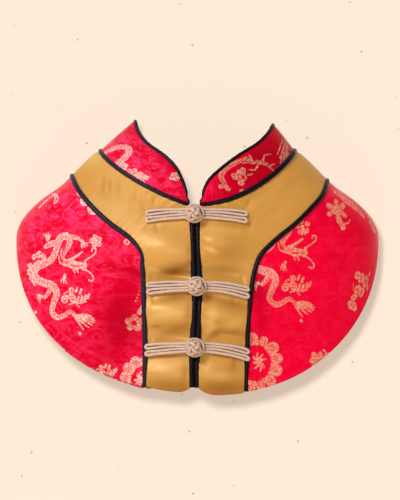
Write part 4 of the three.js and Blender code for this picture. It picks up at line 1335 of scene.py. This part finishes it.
def drop_lining(obj, fall):
    """The lining's edge hangs a hair below the gold's hem, except next to the middle."""
    points = coordinates(obj) / MM
    above = points[:, 2] - hem_z(FRONT, points[:, 0])
    inner = np.arange(len(points)) >= len(points) // 2
    share = np.clip(1 - above / 1.2, 0, 1) * inner * np.clip((points[:, 0] - 5) / 6, 0, 1)
    points[:, 2] -= fall * share
    place(obj, points)


def make_fronts():
    for side in (LEFT, RIGHT):
        steps = ((222, 208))
        obj, cloth = cloth_piece(f"brocade_front_{NAME[side]}", FRONT, brocade_front(side),
                                 steps, brocade_uneven(side))
        weave_figures(obj, cloth, figures_for(FRONT, FIGURES[side]))
        sewn(obj, BROCADE, "red_brocade", f"front_brocade_{NAME[side]}")
        obj, _ = cloth_piece(f"gold_front_{NAME[side]}", FRONT, gold_front(side), (230, 46),
                             gold_uneven(side))
        sewn(obj, SATIN, "gold_satin", f"front_gold_{NAME[side]}",
             rim=int(side == RIGHT))
        if side == RIGHT:
            drop_lining(obj, LINING_DROP)


def make_back():
    low = lambda side: moved(BACK, side, back_yoke_seam(side), SEAM_CLEAR)
    high = lambda side: moved(BACK, side, back_yoke_seam(side), -SEAM_CLEAR)
    neck = lambda side: moved(BACK, side, neck_seam(BACK, side), SEAM_CLEAR)
    hem = lambda side: hem_curve(BACK, side, 0)

    def brocade_swell(s, t, turn, z):
        seam = wavering(s * 260) * np.exp(-t * 90 / 7) * SEAM_PUCKER
        soft = 1.2 * np.sin(s * 23 + 3 * t) * np.sin(t * 3.1) + 0.5 * np.sin(s * 41 + 7 * t)
        return (seam + soft * 0.6) * off_sides(np.sin(turn)) + hem_band(BACK, turn, z)

    def yoke_swell(s, t, turn, z):
        return off_sides(np.sin(turn)) * SEAM_PUCKER * (
            wavering(s * 230) * np.exp(-t * 26 / 5)
            + wavering(s * 250 + 2) * np.exp(-(1 - t) * 26 / 5))

    obj, cloth = cloth_piece("brocade_back", BACK, across_back(low, hem), (330, 138),
                             brocade_swell)
    weave_figures(obj, cloth, figures_for(BACK, BACK_FIGURES))
    sewn(obj, BROCADE, "red_brocade", "back_brocade")
    obj, _ = cloth_piece("gold_back_yoke", BACK, across_back(neck, high), (240, 24),
                         yoke_swell)
    sewn(obj, SATIN, "gold_satin", "back_yoke")


COLLAR_FIGURES = [  # figure, x and z as seen from in front, way it is turned, size, flipped
    ("coil", -52, 15, 42, 1.05, False), ("blossom", -43, 3.8, 0, 0.9, False),
    ("curl", -37.5, 1, 0, 0.9, False), ("blossom", -49.5, 8.2, 30, 0.7, False),
    ("blossom", -14.3, 2, 0, 0.75, False), ("tail", 22.5, 4.5, -38, 1.0, False),
    ("curl", 29.2, 1.6, 10, 1.3, False), ("claw", 36, 10.5, 35, 1.5, False),
    ("koi", 44, 10.5, 12, 1.45, False), ("bend", 58.5, 19, -20, 0.9, True),
    ("curl", 60, 13, 0, 1.1, False), ("bud", 29.5, -8, 0, 0.6, False),
]
COLLAR_BACK_FIGURES = [  # figure, share of the way along the band, way it is turned
    ("cloud", 0.40, 0), ("blossom", 0.5, 0), ("cloud", 0.6, 0), ("sprig", 0.33, 90),
    ("sprig", 0.67, 90),
]


def make_collar():
    front_steps, back_steps = ((150, 60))
    bottom = neck_ring(0, front_steps, back_steps)
    top = collar_top_ring(front_steps, back_steps)
    rungs = top - bottom
    lengths = np.linalg.norm(rungs, axis=1)
    steps_s, steps_t = len(bottom) - 1, 52
    obj, s, t = added_grid("collar_band", steps_s, steps_t)
    i = np.rint(s * steps_s).astype(int)
    inset = np.minimum(1.2 / lengths, 0.45)  # both edges stop short of their piping
    share = inset[i] + (1 - 2 * inset[i]) * t
    points = bottom[i] + rungs[i] * share[:, None]
    out = points * [1, 1, 0]
    out /= np.linalg.norm(out, axis=1, keepdims=True)
    along = run_of((bottom + top) / 2)
    leaning = along[i] + 5 * t
    crease = 0.55 * wavering(leaning * 0.62) + 0.2 * wavering(leaning * 1.7 + 3)
    crease = crease * np.sin(math.pi * t)
    flank = np.clip(np.abs(points[:, 0]) / 60, 0, 1) ** 3
    points += out * ((0.9 * np.sin(math.pi * share) + crease) * (1 - flank))[:, None]
    place(obj, points)
    cloth = np.stack([along[i], share * lengths[i]], -1)
    write_uv(obj, cloth / 100)
    figures = []  # the band runs from right to left as seen from in front, so each is mirrored
    for kind, x, z, way, size, flip in COLLAR_FIGURES:
        far = np.hypot(points[:, 0] - x, points[:, 2] - z) + np.where(points[:, 1] < 0, 0, 1e3)
        at = cloth[np.argmin(far)]
        figures.append(set_down(DRAWN[kind], at[0], at[1], -way, size, not flip))
    middle = steps_s // 2
    figures += [set_down(DRAWN[kind], at * along[-1], lengths[middle] / 2, way)
                for kind, at, way in COLLAR_BACK_FIGURES]
    weave_figures(obj, cloth, figures)
    # painted highlight and painted shade for the satin's colour
    store_painted_light(obj, points)
    face_out(obj, (0, 0, 0))
    sewn(obj, BROCADE, "red_brocade", "collar")


def out_of_cape(face, path, out):
    """The path lifted off the cloth, less so towards the shoulder line."""
    points = on_cape(face, path[:, 0], path[:, 1], creased=False)
    flat = 1 - 0.9 * np.abs(path[:, 0] / QUARTER) ** 8
    return points + outward(face, path) * (out * flat)[:, None]


def piping(stands_for, path, radius, **look):
    obj = tube(f"{stands_for}_made", path, radius, **look)
    use(obj, PIPING)
    root_piece(obj, "black_satin_piping", stands_for)


def make_piping():
    for side in (LEFT, RIGHT):
        path = spaced(FRONT, side, to_hem(side, yoke_seam(side)), 220)
        piping(f"yoke_piping_{NAME[side]}", out_of_cape(FRONT, path, PIPING_PROUD),
               YOKE_PIPING_R[side], bumps=0.1)
        edge = meeting_edge(side, NECK_FRONT_Z - 0.8, SEAM_ROOM + GAP / 2)
        path = spaced(FRONT, side, edge, 160)
        piping(f"centre_piping_{NAME[side]}", out_of_cape(FRONT, path, 0.2), CENTRE_PIPING_R,
               bumps=0.12)
    left, right = (spaced(BACK, side, back_yoke_seam(side), 140) for side in (LEFT, RIGHT))
    path = np.vstack([left[::-1], right[1:]])
    piping("yoke_piping_back", out_of_cape(BACK, path, PIPING_PROUD), PIPING_R, up=(0, 1, 0),
           bumps=0.1)
    ring = neck_ring(PIPING_PROUD, 120, 90)
    plumper = 0.3 * np.clip(ring[:, 0] / 50, 0, 1) * (ring[:, 1] < 0)  # in front on the right
    piping("neck_piping", ring, NECK_PIPING_R + plumper, bumps=0.12)
    ring, neck = collar_top_ring(120, 90), neck_ring(PIPING_PROUD)
    for end in (0, -1):  # its ends are caught in the neck seam
        ring[end] += 0.6 * (neck[end] - ring[end])
    piping("collar_piping", resampled(ring, ring, 420), COLLAR_PIPING_R, bumps=0.1)


# ---------------------------------------------------------------- the frogs

STRAND_R = 1.08
LEG_HALF = (3.3, 4.45)  # half a leg's height at the knot and at its outer end
LEG_BED = 0.8
LEG_FROM = {LEFT: 3.2, RIGHT: 4.2}
KNOT_OUT = [-0.7, -7.4, 0]  # from the cloth at the meeting line to the knot's middle
KNOT_CORE = [3.7, 3.1, 3.7]  # half its width, depth and height


def leg_point(side, frog, share, across, lift):
    """A point of a leg: share runs outwards, across from -1 at its lower edge to 1."""
    z = frog[1]
    drop, reach = frog[2] if side == LEFT else frog[3]
    x = lerp(beside(side, z, LEG_FROM[side]), reach, share)
    height = z - drop * share ** 2 + across * lerp(LEG_HALF[0], LEG_HALF[1], share)
    base = on_cape(FRONT, side * seen(x, np.array(height))[0], height, creased=False)
    return base + [0, -(CLOTH / 2 + LEG_BED + lift), 0]


def leg_cord(side, frog):
    """One cord laid out and back twice, in four strands with two turns at its outer end."""
    points = []
    rise = 2.6 if side == LEFT else 1.2
    lanes = (0.76, 0.26, -0.26, -0.76)
    for k, lane in enumerate(lanes):
        shares = np.linspace(0, 0.955, 12)
        for share in shares if k % 2 == 0 else shares[::-1]:
            lift = STRAND_R + rise * max(0, 1 - share * 4) ** 2 + 0.12 * math.sin(9 * share + k)
            sway = 0.03 * math.sin(7 * share + 2.1 * k + frog[1])
            points.append(leg_point(side, frog, share, lane + sway, lift))
        if k % 2 == 0:
            middle = (lane + lanes[k + 1]) / 2
            for off, share in ((0.17, 0.99), (0.0, 1.002), (-0.17, 0.99)):
                points.append(leg_point(side, frog, share, middle + off, STRAND_R))
        elif k == 1:
            points.append(leg_point(side, frog, -0.03, 0, STRAND_R + rise))
    return tube(f"strands_{NAME[side]}_{frog[0]}", spline(points, 9 * len(points)), STRAND_R,
                around=10, bumps=0.05)


def knot_cord(frog):
    """A button knot: one cord woven over and under itself round a ball."""
    z = frog[1]
    x = float(column(FRONT_LINE, 1, z))
    seat = on_cape(FRONT, *seen(x, np.array(float(z))), creased=False)
    leads, bights, ball, cord = 3, 4, 3.75, 1.38
    a = np.linspace(0, 2 * math.pi, 241)
    around = leads * a + 0.4
    polar = 1.12 + 0.78 * np.cos(bights * a)
    r = ball + 0.6 * np.sin(2 * bights * a)
    points = np.stack([r * np.sin(polar) * np.cos(around), -r * np.cos(polar) * 0.82,
                       r * np.sin(polar) * np.sin(around)], -1)
    points += seat + KNOT_OUT
    return tube(f"ball_{frog[0]}", points, cord, around=10, bumps=0.05), seat


def knot_core(seat):
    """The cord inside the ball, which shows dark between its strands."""
    deselect()
    bpy.ops.mesh.primitive_uv_sphere_add(segments=24, ring_count=14, radius=1)
    obj = bpy.context.object
    place(obj, coordinates(obj) * KNOT_CORE + seat + KNOT_OUT)
    smooth(obj)
    return obj


def loop_cord(frog, seat):
    """The loop that the knot is pushed through, open towards its own leg."""
    a = np.radians(np.linspace(-150, 150, 60))
    r, cord = 5.75, 1.1
    points = np.stack([seat[0] - 0.3 + r * np.cos(a), seat[1] - 4.6 - 0.5 * np.cos(a),
                       seat[2] + r * 0.95 * np.sin(a)], -1)
    return tube(f"loop_{frog[0]}", points, cord, around=10, bumps=0.05)


def frog_half(stands_for, parts):
    obj = joined(f"{stands_for}_made", parts)
    use(obj, CORD)
    root_piece(obj, "beige_frog_cord", stands_for)


def make_frogs():
    for frog in FROGS:
        ball, seat = knot_cord(frog)
        frog_half(f"frog_{frog[0]}_knot", [leg_cord(LEFT, frog), ball, knot_core(seat)])
        frog_half(f"frog_{frog[0]}_loop", [leg_cord(RIGHT, frog), loop_cord(frog, seat)])


# ---------------------------------------------------------------- camera, light and stage

SEEN_WIDE = 266.7  # what the view holds from side to side
VIEW_AT = (1.7, -46.7)
CAMERA_AWAY = 6.0
SENSOR = 36
LIT_AT = (0, 0, -0.05)


def make_camera():
    deselect()
    bpy.ops.object.camera_add(location=(VIEW_AT[0] * MM, -CAMERA_AWAY, VIEW_AT[1] * MM),
                              rotation=(QUARTER, 0, 0))
    camera = bpy.context.object
    camera.name = "front_camera"
    camera.data.sensor_fit = "HORIZONTAL"
    camera.data.sensor_width = SENSOR
    camera.data.lens = SENSOR * CAMERA_AWAY / (SEEN_WIDE * MM)
    camera.data.clip_end = 60
    bpy.context.scene.camera = camera


def make_light(name, place_at, size, power, colour, only=None, leave_out=None):
    deselect()
    bpy.ops.object.light_add(type="AREA", location=place_at)
    light = bpy.context.object
    light.name = name
    light.data.shape = "DISK"
    light.data.size = size
    light.data.energy = power
    light.data.color = linear(colour)[:3]
    way = Vector(LIT_AT) - light.location
    light.rotation_euler = way.to_track_quat("-Z", "Y").to_euler()
    if only or leave_out:
        reach = bpy.data.collections.new(f"{name}_reach")
        for obj in only or leave_out:
            reach.objects.link(obj)
        light.light_linking.receiver_collection = reach
        if leave_out:
            for entry in reach.collection_objects:
                entry.light_linking.link_state = "EXCLUDE"


PAPER = "#FEEBD7"
PAPER_BASE = 0.185  # little of the board's light is reflected, so the cloth's red stays faint


def paper(name, glow):
    # Matt cream board with a few specks of bark in its pulp, lit a little from behind, so
    # that shadows on it stay light. From behind it lets the view through.
    material, add = new_material(name)
    own, lit = (tuple(share * c for c in linear(PAPER)[:3]) + (1.0,)
                for share in (PAPER_BASE, glow))
    bark = add("TexVoronoi", {"Vector": add("TexCoord", {}).outputs["Object"], "Scale": 27.0},
               voronoi_dimensions="2D").outputs
    some = add("SeparateColor", [bark["Color"]]).outputs[0]
    speck = product(add, (bark["Distance"], 0.014, 0.026, 0.65, 0.0),
                    (some, 0.45, 0.9, 0.0, 1.0))
    shader = add("BsdfPrincipled", {
        "Base Color": layered(add, own, (speck, "#4A3626")), "Roughness": 0.95,
        "Specular IOR Level": 0.0, "Emission Color": layered(add, lit, (speck, "#7A6C5C")),
        "Emission Strength": 1.0})
    behind = add("NewGeometry", {}).outputs["Backfacing"]
    add("OutputMaterial", [add("MixShader", [behind, shader, add("BsdfTransparent", {})])])
    return material


def board(name, made_of, glow, **at):
    deselect()
    bpy.ops.mesh.primitive_plane_add(**at)
    obj = bpy.context.object
    obj.name = name
    use(obj, paper(made_of, glow))
    return obj


def make_stage():
    scene = bpy.context.scene
    scene.view_settings.view_transform = "Standard"
    world = bpy.data.worlds.new("soft_room")
    scene.world = world
    world.use_nodes = True
    background = world.node_tree.nodes["Background"]
    background.inputs[0].default_value = linear("#FFF6EE")
    background.inputs[1].default_value = 0.2
    boards = [board("backdrop", "matt_cream_wall_board", 0.545, size=3,
                    location=(0, 0.075, 0), rotation=(QUARTER, 0, 0)),
              board("floor", "matt_cream_floor_board", 0.92, size=9,
                    location=(0, -1.2, -0.45))]
    make_light("window", (-1.15, -1.65, 1.3), 0.6, 42.5, "#FFFEFC", leave_out=boards)
    make_light("front_fill", (0.15, -4.6, 0.5), 0.5, 32, "#FFFAF6", leave_out=boards)
    make_light("board_lamp", (-0.15, -4.6, 0.22), 0.22, 440, "#FFFFFF", only=boards)


make_camera()
make_stage()
make_fronts()
make_back()
make_collar()
make_piping()
make_frogs()
